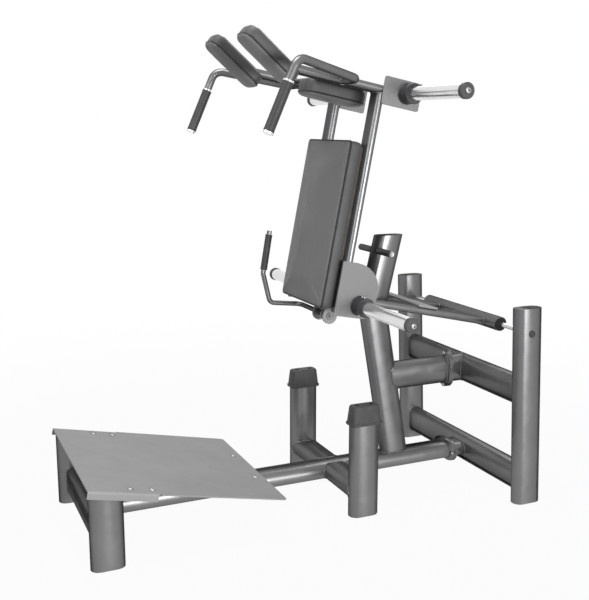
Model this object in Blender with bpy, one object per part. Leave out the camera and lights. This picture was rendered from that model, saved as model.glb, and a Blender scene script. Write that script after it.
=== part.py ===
import math

import bmesh
import bpy
from mathutils import Matrix, Vector

# Squat machine: a welded base with a standing plate, and a lever carriage that swings on two rear columns
# World frame: +Z up, the standing plate toward -Y, the rear columns toward +Y, the user's left side at +X
# The origin lies on the floor under the middle of the base, and all sizes are metres

# Sizes shared by many pieces
GAP = 0.0003                  # clearance between pieces that touch
FRAME_LENGTH = 1.767          # foremost point of the standing plate to the rear of the columns
TUBE_WIDE = 0.120             # flat-oval frame tube, long way across
TUBE_THICK = 0.060            # flat-oval frame tube, short way across
TUBE_WALL = 0.003
ROUND_STEPS = 6               # facets in each half-round side of a frame tube
CAP_THICK = 0.004             # welded top caps
PLUG_DEPTH = 0.015            # how far a cap or bumper reaches into its tube

# Rear columns and their crossbars
COLUMN_SPACING = 0.860        # middle to middle
COLUMN_HEIGHT = 0.788
COLUMN_LEAN = math.radians(2.4)
BASE_TUBE_HEIGHT = 0.092      # middle of the spine and of the low crossbars
UPPER_BAR_HEIGHT = 0.450      # middle of the upper crossbar and of the brace

# Bolted joints in the spine and the brace
FLANGE_THICK = 0.010
FLANGE_LIP = 0.014            # flange past the flat sides of its tube
FLANGE_EAR = 0.018            # flange past the round ends of its tube
SPINE_STUB = 0.050            # from the rear face of the spine flange to the lower crossbar
BRACE_STUB = 0.045            # from the rear face of the brace flange to the upper crossbar
BOLT_SHANK = 0.008
BOLT_HEAD = 0.013
BOLT_HEAD_HEIGHT = 0.005

# Centre post
POST_FROM_COLUMN = 0.356      # distance between the feet of the post and of the columns
POST_BEND_HEIGHT = 0.753
POST_BEND_FORWARD = 0.112
POST_HEIGHT = 1.038
POST_TOP_BACK = 0.068         # how far the top stands behind the bend
ROD_HEIGHT = 0.977
ROD_DIAMETER = 0.026
ROD_LENGTH = 0.256
ROD_INSET = 0.019             # rod middle behind the post's front face
ROD_CHAMFER = 0.0026
LEDGE_WIDTH = 0.040
LEDGE_THICK = 0.014
LEDGE_REACH = 0.016           # how far the catch ledge stands out from the post

# Lower stops
STOP_FROM_COLUMN = 0.648
STOP_SPACING = 0.556
STOP_HEIGHT = 0.364
BUMPER_LIP_LENGTH = 0.130
BUMPER_LIP_WIDTH = 0.072
BUMPER_LIP_HEIGHT = 0.009
BUMPER_LENGTH = 0.124
BUMPER_WIDTH = 0.066
BUMPER_HEIGHT = 0.074
BUMPER_TAPER = 0.006          # how much each side leans in toward the top
BUMPER_CORNER = 0.016
BUMPER_HOLE = 0.016
BUMPER_HOLE_SPACING = 0.060
BUMPER_HOLE_DEPTH = 0.010
BUMPER_BOSS_LENGTH = 0.090    # boss inside the stop post
BUMPER_BOSS_WIDTH = 0.042

# Standing plate and its legs
LEG_SPACING = 0.618
LEG_SETBACK = 0.003
PLATE_WIDTH = 0.696
PLATE_LENGTH = 0.7225
PLATE_THICK = 0.005
PLATE_SLOPE = math.radians(11.9)
PLATE_FRONT_HEIGHT = 0.297
SIDE_FLANGE_DROP = 0.027
SIDE_FLANGE_LENGTH = 0.243
SIDE_FLANGE_BEND = 0.008
FLANGE_RELIEF = 0.010         # slot between the flange's end and the flat side
PLATE_CORNER = 0.010
RAIL_WIDTH = 0.046
RAIL_THICK = 0.005
RAIL_LENGTH = 0.252
BRACKET_WIDTH = 0.300
BRACKET_DEPTH = 0.050
BRACKET_SHEET = 0.004
BRACKET_FROM_REAR = 0.037     # bracket middle in front of the plate's rear edge
FRONT_BOLT_SPACING = 0.610
FRONT_BOLT_ROWS = (0.152, 0.229)
REAR_BOLT_SPACING = 0.244
DECK_BOLT_HEAD = 0.020
DECK_BOLT_HEIGHT = 0.004
DECK_BOLT_TAIL = 0.016        # bolt past its nut

# Main pivot
PIVOT_HEIGHT = 0.690
SHAFT_DIAMETER = 0.020
SHAFT_BOLT = 0.010
SHAFT_BOLT_HEAD = 0.028
SHAFT_BOLT_DEPTH = 0.030
PIVOT_TUBE_DIAMETER = 0.058
PIVOT_TUBE_LENGTH = 0.530
BEARING_DIAMETER = 0.044
BEARING_LENGTH = 0.022
BEARING_LIP = 0.003
BEARING_LIP_DIAMETER = 0.051

# Carriage, in a frame that hangs on the main pivot and tilts with the uprights
CARRIAGE_TILT = math.radians(11.0)
UPRIGHT_REACH = 0.696         # main pivot to the corner of uprights and shoulder tubes
CORNER_RISE = 0.787           # that corner over the main pivot
UPRIGHT_SPACING = 0.344
UPRIGHT_DEPTH = 0.030
UPRIGHT_WIDTH = 0.070
UPRIGHT_SETBACK = 0.0075      # upright's middle behind the corner
UPRIGHT_DROP = 0.835          # foot of the uprights under that corner
BOX_RADIUS = 0.006
VENT_DIAMETER = 0.008         # weld vent under each shoulder tube
VENT_FROM_REAR = 0.060
SHARP_RADIUS = 0.001          # edges of bars and flat plates
SOFT_EDGE = 0.003             # edges of caps
GRIP_EDGE = 0.002             # edges of rubber grips
SHOULDER_WIDTH = 0.070
SHOULDER_TALL = 0.030
SHOULDER_REAR = 0.028         # rear end behind the corner
SHOULDER_RISE = 0.005         # shoulder tube's middle over the corner
ARM_SPACING = 0.324
ARM_WIDTH = 0.060
ARM_TALL = 0.030
ARM_DROP_REAR = 0.0075        # arm middle under the pivot
ARM_RISE_FRONT = 0.0135       # arm middle over the pivot's level at the uprights
TIE_WIDTH = 0.380
TIE_DEPTH = 0.088
TIE_THICK = 0.008
TIE_FROM_PIVOT = 0.303
SIDE_PLATE_THICK = 0.008
SIDE_PLATE_FRONT = 0.025      # plate edge in front of the corner
SIDE_PLATE_TOP = 0.634        # under it
SIDE_PLATE_FOOT = 0.840
SIDE_PLATE_BACK = 0.143       # rearmost point behind it
SIDE_PLATE_ROUND = 0.105
SIDE_PLATE_FOOT_ROUND = 0.045
SIDE_PLATE_SWEEP = 115        # degrees of the large round
HORN_PLATE_CORNER = 0.006
HORN_PLATE_LENGTH = 0.158
HORN_PLATE_TALL = 0.102
HORN_PLATE_START = 0.008
HORN_PLATE_RISE = 0.003
CROSS_TUBE_DEPTH = 0.040
CROSS_TUBE_TALL = 0.030
CROSS_TUBE_RISE = 0.060       # cross tube's middle over the feet of the uprights

# Weight horns
LOWER_HORN_BACK = 0.072
LOWER_HORN_DROP = 0.791
UPPER_HORN_BACK = 0.106
UPPER_HORN_RISE = 0.006
HORN_END = 0.610              # outer end of each horn from the machine's middle plane
COLLAR_END = 0.270
COLLAR_DIAMETER = 0.068
COLLAR_RING_DIAMETER = 0.072
COLLAR_RING = 0.007
COLLAR_SINK = 0.002           # how deep a collar's root is welded into its plate
SLEEVE_DIAMETER = 0.050
SLEEVE_WALL = 0.004
END_CAP_DIAMETER = 0.056
END_CAP_LENGTH = 0.018
HORN_BOLT_DIAMETER = 0.020
HORN_BOLT_HEIGHT = 0.006

# Upper handles
HANDLE_DIAMETER = 0.031
HANDLE_WALL = 0.003
HANDLE_REAR = 0.149           # rear turn in front of the corner
HANDLE_REAR_RISE = 0.003
HANDLE_REAR_SPREAD = 0.600    # between the two rear turns
HANDLE_COPE = 0.014           # how far the bar's end wraps round the shoulder tube
HANDLE_SPREAD = 0.820         # between the two grips
HANDLE_BEND_FORWARD = 0.4285
HANDLE_BEND_RISE = 0.0084
HANDLE_BEND_RADIUS = 0.040
HANDLE_LEG = 0.258            # bend corner to the end of the bar
HANDLE_LEG_ANGLE = math.radians(12.9)
GRIP_DIAMETER = 0.036
GRIP_START = 0.088            # from the bend corner down the leg
FERRULE_DIAMETER = 0.037
FERRULE_LENGTH = 0.006
HANDLE_CAP_LENGTH = 0.010
HANDLE_CAP_DIAMETER = 0.035

# Cushions and their boards
BOARD_THICK = 0.011
BACK_PAD_WIDTH = 0.370
BACK_PAD_LENGTH = 0.630
BACK_PAD_TOP = 0.195          # under the corner
BACK_PAD_DEPTH = 0.0465       # board to seam
BACK_PAD_CROWN = 0.018
BACK_PAD_ROUND = 0.015
BOARD_INSET = 0.010
FRONT_PAD_WIDTH = 0.118
FRONT_PAD_LENGTH = 0.245
FRONT_PAD_DEPTH = 0.048
FRONT_PAD_CROWN = 0.012
FRONT_PAD_ROUND = 0.036
FRONT_PAD_ANGLE = math.radians(30.5)
FRONT_PAD_BACK = 0.173        # back plane of the pads to the corner, square to that plane
FRONT_PAD_START = 0.270       # low end of the pads from the corner, along that plane
MOUNT_PLATE_THICK = 0.006
MOUNT_PLATE_WIDTH = 0.076
MOUNT_PLATE_LENGTH = 0.190
MOUNT_PLATE_CORNER = 0.010
CENTRE_PAD_WIDTH = 0.120
CENTRE_PAD_FRONT = 0.220
CENTRE_PAD_BACK = 0.035
CENTRE_PAD_DEPTH = 0.054
CENTRE_PAD_CROWN = 0.012
CENTRE_PAD_ROUND = 0.036
CENTRE_PAD_TOP = 0.006        # top of its board over the corner
SEAM_DRAW = 0.0025            # how far the seam pulls the sides in
# The face's rise to its crown: inset from the side, and share of the crown there
CROWN_STEPS = ((0.004, 0.25), (0.012, 0.62), (0.026, 0.9), (0.046, 1.0))
CROWN_CORNER = 0.004
PAD_BAR_DEPTH = 0.210         # flat plate over the neck pad
PAD_BAR_THICK = 0.006

# Release handle and catch
RELEASE_BEHIND = 0.046        # release shaft behind the corner
RELEASE_DROP = 0.080          # and under the main pivot, in the carriage's frame
RELEASE_DIAMETER = 0.020
RELEASE_REACH = 0.232         # handle plane from the machine's middle
RELEASE_FORWARD = 0.138       # handle corner in front of the shaft
RELEASE_CORNER_RISE = 0.016
RELEASE_TALL = 0.297          # handle corner to its top end
RELEASE_KNEE = 0.124          # height of the knee over that corner
RELEASE_KNEE_FORWARD = 0.0295
RELEASE_BEND = 0.026
RELEASE_GRIP_DIAMETER = 0.028
RELEASE_GRIP_LENGTH = 0.144
RELEASE_GRIP_FROM_TOP = 0.016
LUG_SPACING = 0.090
LUG_THICK = 0.008
LUG_WIDTH = 0.062
PAWL_THICK = 0.012
PAWL_REACH = 0.150
PAWL_TALL = 0.024
PAWL_HUB = 0.018
PAWL_CLEARANCE = 0.001        # closed pawl over the ledge
PAWL_OPEN = math.radians(28.0)
RETAINER_DIAMETER = 0.030
RETAINER_THICK = 0.003

# Places worked out from the sizes
HALF_WIDE = TUBE_WIDE / 2
HALF_THICK = TUBE_THICK / 2
FRONT_Y = -FRAME_LENGTH / 2
COLUMN_Y = FRAME_LENGTH / 2 - HALF_WIDE
POST_Y = COLUMN_Y - POST_FROM_COLUMN
STOP_Y = COLUMN_Y - STOP_FROM_COLUMN
DECK_Y = FRONT_Y + SIDE_FLANGE_DROP * math.sin(PLATE_SLOPE)
LEG_Y = DECK_Y + LEG_SETBACK + HALF_WIDE
SPINE_TOP = BASE_TUBE_HEIGHT + HALF_THICK
PIVOT_Y = COLUMN_Y - math.tan(COLUMN_LEAN) * PIVOT_HEIGHT
RELEASE_BACK = UPRIGHT_REACH - RELEASE_BEHIND   # release shaft in front of the main pivot
SIDES = (("left", 1), ("right", -1))
X_AXIS = Vector((1, 0, 0))
Y_AXIS = Vector((0, 1, 0))
Z_AXIS = Vector((0, 0, 1))


def clear_scene():
    for thing in list(bpy.data.objects):
        bpy.data.objects.remove(thing, do_unlink=True)


def make_material(name, colour, roughness, metallic):
    material = bpy.data.materials.new(name)
    material.use_nodes = True
    shader = material.node_tree.nodes["Principled BSDF"]
    shader.inputs["Base Color"].default_value = (*colour, 1.0)
    shader.inputs["Roughness"].default_value = roughness
    shader.inputs["Metallic"].default_value = metallic
    return material


def frame_paint(name):
    return make_material(name, (0.22, 0.22, 0.225), 0.42, 0.5)


def plate_paint(name):
    return make_material(name, (0.42, 0.42, 0.425), 0.5, 0.4)


def chrome(name):
    return make_material(name, (0.75, 0.75, 0.76), 0.15, 1.0)


def zinc(name):
    return make_material(name, (0.45, 0.45, 0.46), 0.35, 0.9)


def black_rubber(name):
    return make_material(name, (0.06, 0.06, 0.062), 0.7, 0.0)


def grey_vinyl(name):
    return make_material(name, (0.13, 0.13, 0.135), 0.6, 0.0)


def birch_ply(name):
    return make_material(name, (0.09, 0.08, 0.07), 0.7, 0.0)


# Outlines are lists of (across, other) points, walked once round
def rounded_outline(wide, tall, radius, steps):
    points = []
    for corner, (sign_u, sign_v) in enumerate(((1, 1), (-1, 1), (-1, -1), (1, -1))):
        middle_u = sign_u * (wide / 2 - radius)
        middle_v = sign_v * (tall / 2 - radius)
        for step in range(steps + 1):
            angle = math.pi / 2 * (corner + step / steps)
            points.append((middle_u + radius * math.cos(angle), middle_v + radius * math.sin(angle)))
    return points


def oval_outline(wide, thick):
    radius = thick / 2
    points = []
    for end in (1, -1):
        for step in range(ROUND_STEPS + 1):
            angle = math.pi * step / ROUND_STEPS - math.pi / 2
            reach = wide / 2 - radius + radius * math.cos(angle)
            points.append((end * reach, end * radius * math.sin(angle)))
    return points


def round_outline(radius, sides):
    return [(radius * math.cos(2 * math.pi * step / sides), radius * math.sin(2 * math.pi * step / sides))
            for step in range(sides)]


def tube_outer():
    return oval_outline(TUBE_WIDE, TUBE_THICK)


def tube_inner(shrink=0.0):
    less = 2 * (TUBE_WALL + shrink)
    return oval_outline(TUBE_WIDE - less, TUBE_THICK - less)


def tube_clearance():
    return oval_outline(TUBE_WIDE + 2 * GAP, TUBE_THICK + 2 * GAP)


class Lane:
    # A straight line that outlines are swept along, with its own sideways directions

    def __init__(self, start, end, across):
        self.start = Vector(start)
        self.end = Vector(end)
        self.along = (self.end - self.start).normalized()
        across = Vector(across)
        self.across = (across - self.along * across.dot(self.along)).normalized()
        self.other = self.along.cross(self.across)

    def ring(self, outline, point, normal=None):
        point = Vector(point)
        normal = self.along if normal is None else Vector(normal)
        places = []
        for u, v in outline:
            place = self.start + self.across * u + self.other * v
            slide = (point - place).dot(normal) / self.along.dot(normal)
            places.append(place + self.along * slide)
        return places

    def at(self, distance):
        return self.start + self.along * distance


def skin(name, rings, material, hollow=False, parent=None):
    # Rings of equal length are joined side by side; a hollow body closes on its first ring
    mesh = bpy.data.meshes.new(name)
    body = bmesh.new()
    loops = [[body.verts.new(point) for point in ring] for ring in rings]
    pairs = list(zip(loops[:-1], loops[1:]))
    if hollow:
        pairs.append((loops[-1], loops[0]))
    else:
        body.faces.new(loops[0])
        body.faces.new(loops[-1])
    for first, second in pairs:
        count = len(first)
        for index in range(count):
            after = (index + 1) % count
            body.faces.new((first[index], first[after], second[after], second[index]))
    bmesh.ops.recalc_face_normals(body, faces=body.faces)
    body.to_mesh(mesh)
    body.free()
    mesh.materials.append(material)
    piece = bpy.data.objects.new(name, mesh)
    bpy.context.scene.collection.objects.link(piece)
    piece.parent = parent
    return piece


def smooth(piece):
    piece.data.shade_smooth()
    piece.data.set_sharp_from_angle(angle=math.radians(32))
    return piece


def pipe(name, lane, outer, inner, material, first_cut=None, last_cut=None, parent=None):
    # A hollow tube between two cutting planes, each a (point, normal) pair
    first = first_cut or (lane.start, lane.along)
    last = last_cut or (lane.end, lane.along)
    outside = [lane.ring(outer, *first), lane.ring(outer, *last)]
    rings = outside + [lane.ring(inner, *last), lane.ring(inner, *first)]
    return smooth(skin(name, rings, material, hollow=True, parent=parent))


def bar(name, lane, outline, material, first_cut=None, last_cut=None, parent=None):
    first = first_cut or (lane.start, lane.along)
    last = last_cut or (lane.end, lane.along)
    rings = [lane.ring(outline, *first), lane.ring(outline, *last)]
    return smooth(skin(name, rings, material, parent=parent))


def turned(name, profile, start, along, across, sides, material, hollow=False, parent=None):
    # A profile of (distance, radius) points turned about a line
    start = Vector(start)
    lane = Lane(start, start + Vector(along), across)
    rings = [lane.ring(round_outline(radius, sides), lane.at(distance)) for distance, radius in profile]
    return smooth(skin(name, rings, material, hollow=hollow, parent=parent))


def bend_points(corners, radius, steps=5):
    # The corners of a path, each inner one replaced by an arc
    places = [Vector(corners[0])]
    for before, corner, after in zip(corners[:-2], corners[1:-1], corners[2:]):
        corner = Vector(corner)
        inward = (Vector(before) - corner).normalized()
        outward = (Vector(after) - corner).normalized()
        half = inward.angle(outward) / 2
        setback = radius / math.tan(half)
        middle = corner + (inward + outward).normalized() * (radius / math.sin(half))
        first = corner + inward * setback - middle
        last = corner + outward * setback - middle
        sweep = first.angle(last)
        for step in range(steps + 1):
            share = step / steps
            spoke = (first * math.sin((1 - share) * sweep) + last * math.sin(share * sweep)) / math.sin(sweep)
            places.append(middle + spoke)
    places.append(Vector(corners[-1]))
    return places


def bent_rings(places, radius, sides, start_normal=None):
    # One round ring at each place, square to the path there and never twisted, and the lane of the last run
    directions = [(after - before).normalized() for before, after in zip(places[:-1], places[1:])]
    across = directions[0].orthogonal().normalized()
    rings = []
    for index, place in enumerate(places):
        behind = directions[max(index - 1, 0)]
        ahead = directions[min(index, len(directions) - 1)]
        along = (behind + ahead).normalized()
        across = (across - along * across.dot(along)).normalized()
        lane = Lane(place, place + along, across)
        normal = start_normal if index == 0 and start_normal is not None else along
        rings.append(lane.ring(round_outline(radius, sides), place, normal))
    return rings, lane


def subtract(target, cutters):
    for cutter in cutters:
        cutter.hide_render = True
        cutter.display_type = "WIRE"
        cutter.parent = target.parent
        modifier = target.modifiers.new("cut", "BOOLEAN")
        modifier.operation = "DIFFERENCE"
        modifier.solver = "EXACT"
        modifier.object = cutter
    bpy.context.view_layer.update()
    graph = bpy.context.evaluated_depsgraph_get()
    cut_mesh = bpy.data.meshes.new_from_object(target.evaluated_get(graph))
    target.modifiers.clear()
    target.data = cut_mesh
    for cutter in cutters:
        bpy.data.objects.remove(cutter, do_unlink=True)
    return smooth(target)


def drill(diameter, start, end, sides=12):
    # A round cutter; the flats of the hole clear a round of the named diameter
    lane = Lane(start, end, (0.31, 0.42, 0.53))
    radius = diameter / 2 / math.cos(math.pi / sides)
    return bar("cutter", lane, round_outline(radius, sides), CUTTER_MATERIAL)


def unite(target, pieces):
    # Pieces welded into one body; each one overlaps the target a little
    for piece in pieces:
        modifier = target.modifiers.new("weld", "BOOLEAN")
        modifier.operation = "UNION"
        modifier.solver = "EXACT"
        modifier.object = piece
    bpy.context.view_layer.update()
    graph = bpy.context.evaluated_depsgraph_get()
    whole = bpy.data.meshes.new_from_object(target.evaluated_get(graph))
    target.modifiers.clear()
    target.data = whole
    for piece in pieces:
        bpy.data.objects.remove(piece, do_unlink=True)
    return smooth(target)


def column_axis(height):
    return COLUMN_Y - math.tan(COLUMN_LEAN) * height


def post_axis(height):
    foot = Vector((0, POST_Y, SPINE_TOP))
    bend = Vector((0, POST_Y - POST_BEND_FORWARD, POST_BEND_HEIGHT))
    top = Vector((0, POST_Y - POST_BEND_FORWARD + POST_TOP_BACK, POST_HEIGHT))
    first, last = (foot, bend) if height < POST_BEND_HEIGHT else (bend, top)
    return first.lerp(last, (height - first.z) / (last.z - first.z))


def column_lane(side):
    x = side * COLUMN_SPACING / 2
    return Lane((x, column_axis(0), 0), (x, column_axis(COLUMN_HEIGHT), COLUMN_HEIGHT), Y_AXIS)


def standing_lane(x, y, height):
    return Lane((x, y, 0), (x, y, height), Y_AXIS)


def crossbar_lane(half_length, y, height):
    return Lane((-half_length, y, height), (half_length, y, height), Z_AXIS)


def closed_pipe(name, lane, outer, inner, wall, material, open_cut, closed_cut, parent=None):
    # A tube open at one cutting plane, with an end plate inside the other
    point, normal = closed_cut
    inside = Vector(point) - lane.along * wall
    if (Vector(point) - Vector(open_cut[0])).dot(lane.along) < 0:
        inside = Vector(point) + lane.along * wall
    rings = [lane.ring(inner, inside, normal), lane.ring(inner, *open_cut), lane.ring(outer, *open_cut),
             lane.ring(outer, point, normal)]
    return smooth(skin(name, rings, material, parent=parent))


def build_columns():
    half = COLUMN_SPACING / 2
    floor = (Vector((0, 0, 0)), Z_AXIS)
    top = (Vector((0, 0, COLUMN_HEIGHT)), Z_AXIS)
    for name, side in SIDES:
        column = closed_pipe("column_" + name, column_lane(side), tube_outer(), tube_inner(), CAP_THICK,
                             frame_paint("column_" + name), floor, top)
        inner_face = side * (half - HALF_THICK)
        outer_face = side * (half + HALF_THICK)
        hole = drill(SHAFT_BOLT + 2 * GAP, (inner_face - side * HALF_THICK, PIVOT_Y, PIVOT_HEIGHT),
                     (outer_face + side * HALF_THICK, PIVOT_Y, PIVOT_HEIGHT))
        subtract(column, [hole])


def flange_faces(crossbar_height, stub_length):
    # Along the spine or brace: rear face, seam and front face of the flange pair
    rear = column_axis(crossbar_height) - HALF_THICK - stub_length
    return rear, rear - FLANGE_THICK, rear - 2 * FLANGE_THICK - GAP


def flange_outline():
    return oval_outline(TUBE_WIDE + 2 * FLANGE_EAR, TUBE_THICK + 2 * FLANGE_LIP)


def flange_bolt_places(height, across):
    ear = (HALF_WIDE + FLANGE_EAR / 2) * Vector(across)
    return [Vector((0, 0, height)) + ear * sign for sign in (1, -1)]


def build_crossbar(name, height, stub_length, across):
    # A crossbar between the columns, with a short stub and the rear plate of the bolted joint in front of it
    reach = COLUMN_SPACING / 2 - HALF_THICK - GAP
    middle = column_axis(height)
    crossbar = pipe(name, crossbar_lane(reach, middle, height), tube_outer(), tube_inner(), frame_paint(name))
    rear, seam, front = flange_faces(height, stub_length)
    lane = Lane((0, middle, height), (0, seam, height), across)
    plate_rear = Vector((0, rear, height))
    rings = [lane.ring(tube_inner(), lane.end), lane.ring(tube_inner(), lane.start),
             lane.ring(tube_outer(), lane.start), lane.ring(tube_outer(), plate_rear),
             lane.ring(flange_outline(), plate_rear), lane.ring(flange_outline(), lane.end)]
    stub = skin("stub", rings, FLANGE_PAINT, hollow=True)
    seat = oval_outline(TUBE_WIDE - TUBE_WALL, TUBE_THICK - TUBE_WALL)
    subtract(stub, [bar("cutter", crossbar_lane(TUBE_WIDE, middle, height), seat, CUTTER_MATERIAL)])
    bolts = []
    for place in flange_bolt_places(height, across):
        start = place + Y_AXIS * front
        grip = rear - front
        head = BOLT_HEAD / 2
        shank = BOLT_SHANK / 2
        profile = [(-GAP - BOLT_HEAD_HEIGHT, head), (-GAP, head), (-GAP, shank), (grip - GAP, shank),
                   (grip - GAP, head), (grip + BOLT_HEAD_HEIGHT, head)]
        bolts.append(turned("bolt", profile, start, Y_AXIS, X_AXIS, 12, FLANGE_PAINT))
    return unite(crossbar, [stub] + bolts)


def front_flange_tube(name, height, stub_length, across, start):
    # The spine or the brace, with the front plate of its bolted joint at the rear end
    rear, seam, front = flange_faces(height, stub_length)
    lane = Lane(start, (0, seam - GAP, height), across)
    plate_front = Vector((0, front, height))
    rings = [lane.ring(tube_inner(), lane.end), lane.ring(tube_inner(), lane.start),
             lane.ring(tube_outer(), lane.start), lane.ring(tube_outer(), plate_front),
             lane.ring(flange_outline(), plate_front), lane.ring(flange_outline(), lane.end)]
    tube = smooth(skin(name, rings, frame_paint(name), hollow=True))
    holes = []
    for place in flange_bolt_places(height, across):
        bore_start = place + Y_AXIS * (front - FLANGE_THICK)
        holes.append(drill(BOLT_SHANK + 2 * GAP, bore_start, place + Y_AXIS * rear))
    return subtract(tube, holes)


def build_spine_and_brace():
    build_crossbar("lower_crossbar", BASE_TUBE_HEIGHT, SPINE_STUB, X_AXIS)
    build_crossbar("upper_crossbar", UPPER_BAR_HEIGHT, BRACE_STUB, Z_AXIS)
    spine_start = (0, LEG_Y + HALF_THICK + GAP, BASE_TUBE_HEIGHT)
    front_flange_tube("spine_tube", BASE_TUBE_HEIGHT, SPINE_STUB, X_AXIS, spine_start)
    brace = front_flange_tube("brace_tube", UPPER_BAR_HEIGHT, BRACE_STUB, Z_AXIS, post_axis(UPPER_BAR_HEIGHT))
    post_lane = Lane(post_axis(SPINE_TOP), post_axis(POST_BEND_HEIGHT), Y_AXIS)
    subtract(brace, [bar("cutter", post_lane, tube_clearance(), CUTTER_MATERIAL)])


def build_post():
    # One bent post with a closed top, and a rod welded through its front edge
    foot = post_axis(SPINE_TOP)
    bend = post_axis(POST_BEND_HEIGHT)
    top = post_axis(POST_HEIGHT)
    lower = Lane(foot, bend, Y_AXIS)
    upper = Lane(bend, top, Y_AXIS)
    mitre = (lower.along + upper.along).normalized()
    seat = foot + Z_AXIS * GAP
    bore_top = top - Z_AXIS * CAP_THICK
    rings = [upper.ring(tube_inner(), bore_top, Z_AXIS), lower.ring(tube_inner(), bend, mitre),
             lower.ring(tube_inner(), seat, Z_AXIS), lower.ring(tube_outer(), seat, Z_AXIS),
             lower.ring(tube_outer(), bend, mitre), upper.ring(tube_outer(), top, Z_AXIS)]
    post = skin("post", rings, frame_paint("post"))
    rod_middle = post_axis(ROD_HEIGHT) - Y_AXIS * (HALF_WIDE - ROD_INSET)
    half_rod = X_AXIS * ROD_LENGTH / 2
    radius = ROD_DIAMETER / 2
    profile = [(0, radius - ROD_CHAMFER), (ROD_CHAMFER, radius), (ROD_LENGTH - ROD_CHAMFER, radius),
               (ROD_LENGTH, radius - ROD_CHAMFER)]
    unite(post, [turned("rod", profile, rod_middle - half_rod, X_AXIS, Z_AXIS, 16, FLANGE_PAINT)])
    build_ledge((lower, upper), (bend, mitre))


def build_ledge(post_lanes, bend_cut):
    # The catch ledge, welded to the front of the post and cut to its round under and over the bend
    middle = ledge_height()
    front = post_axis(middle).y - HALF_WIDE - LEDGE_REACH
    depth = LEDGE_REACH + HALF_THICK / 2
    half = X_AXIS * LEDGE_WIDTH / 2
    place = Vector((0, front + depth / 2, middle))
    outline = rounded_outline(depth, LEDGE_THICK, SHARP_RADIUS, 1)
    ledge = bar("catch_ledge", Lane(place - half, place + half, Y_AXIS), outline, plate_paint("catch_ledge"))
    lower, upper = post_lanes
    under = bar("cutter", lower, tube_clearance(), CUTTER_MATERIAL, None, bend_cut)
    over = bar("cutter", upper, tube_clearance(), CUTTER_MATERIAL, bend_cut)
    subtract(ledge, [under, over])


def release_axis():
    # World place of the release shaft, with the carriage at rest
    local = Vector((0, -RELEASE_BACK, -RELEASE_DROP))
    return Vector((0, PIVOT_Y, PIVOT_HEIGHT)) + Matrix.Rotation(-CARRIAGE_TILT, 3, "X") @ local


def ledge_height():
    return release_axis().z - LEDGE_THICK / 2


def bumper(name, x):
    lane = Lane((x, STOP_Y, STOP_HEIGHT), (x, STOP_Y, STOP_HEIGHT + BUMPER_HEIGHT), Y_AXIS)
    steps = 3

    def tapered(taper):
        radius = BUMPER_CORNER - taper / 4
        return rounded_outline(BUMPER_LENGTH - 2 * taper, BUMPER_WIDTH - 2 * taper, radius, steps)

    boss = rounded_outline(BUMPER_BOSS_LENGTH, BUMPER_BOSS_WIDTH, BUMPER_CORNER, steps)
    lip = rounded_outline(BUMPER_LIP_LENGTH, BUMPER_LIP_WIDTH, BUMPER_CORNER, steps)
    stack = ((boss, -PLUG_DEPTH), (boss, GAP), (lip, GAP), (lip, BUMPER_LIP_HEIGHT),
             (tapered(0), BUMPER_LIP_HEIGHT), (tapered(BUMPER_TAPER * 0.6), BUMPER_HEIGHT * 0.6),
             (tapered(BUMPER_TAPER), BUMPER_HEIGHT * 0.93), (tapered(BUMPER_TAPER * 1.5), BUMPER_HEIGHT))
    rings = [lane.ring(outline, lane.at(height)) for outline, height in stack]
    piece = skin("bumper_" + name, rings, black_rubber("bumper_" + name))
    cutters = []
    for sign in (1, -1):
        place = lane.end + Y_AXIS * sign * BUMPER_HOLE_SPACING / 2
        depth = Z_AXIS * BUMPER_HOLE_DEPTH
        cutters.append(drill(BUMPER_HOLE, place - depth, place + depth))
    return subtract(piece, cutters)


def build_stops():
    half = STOP_SPACING / 2
    for name, side in SIDES:
        x = side * half
        post_lane = standing_lane(x, STOP_Y, STOP_HEIGHT)
        closed_pipe("stop_post_" + name, post_lane, tube_outer(), tube_inner(), CAP_THICK,
                    frame_paint("stop_post_" + name), (post_lane.end, Z_AXIS), (post_lane.start, Z_AXIS))
        bumper(name, x)
        arm_lane = Lane((side * HALF_THICK, STOP_Y, BASE_TUBE_HEIGHT), (x, STOP_Y, BASE_TUBE_HEIGHT), Y_AXIS)
        arm = pipe("stop_arm_" + name, arm_lane, tube_outer(), tube_inner(), frame_paint("stop_arm_" + name))
        spine_middle = Vector((0, STOP_Y, BASE_TUBE_HEIGHT))
        spine = Lane(spine_middle - Y_AXIS * TUBE_WIDE, spine_middle + Y_AXIS * TUBE_WIDE, X_AXIS)
        subtract(arm, [bar("cutter", spine, tube_clearance(), CUTTER_MATERIAL),
                       bar("cutter", post_lane, tube_clearance(), CUTTER_MATERIAL)])


def deck_place(x, back, down=0.0):
    # World place of a point on the standing plate, measured from the middle of its front edge
    slope = Matrix.Rotation(-PLATE_SLOPE, 3, "X")
    return Vector((0, DECK_Y, PLATE_FRONT_HEIGHT)) + slope @ Vector((x, back, -down))


def deck_normal():
    return Matrix.Rotation(-PLATE_SLOPE, 3, "X") @ Z_AXIS


def deck_bolt(x, back, under):
    # Round-headed bolt through the plate, with its nut under the rail or bracket that holds it
    top = deck_place(x, back)
    seat = PLATE_THICK + GAP + under / 2
    nut_end = PLATE_THICK + GAP + under + BOLT_SHANK * 0.8
    head = DECK_BOLT_HEAD / 2
    shank = BOLT_SHANK / 2
    nut = BOLT_HEAD / 2
    profile = [(-GAP - DECK_BOLT_HEIGHT, head * 0.6), (-GAP - DECK_BOLT_HEIGHT / 2, head * 0.93),
               (-GAP, head), (-GAP, shank), (seat, shank), (seat, nut), (nut_end, nut), (nut_end, shank),
               (nut_end + DECK_BOLT_TAIL, shank)]
    return turned("bolt", profile, top, -deck_normal(), X_AXIS, 12, ZINC)


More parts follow.
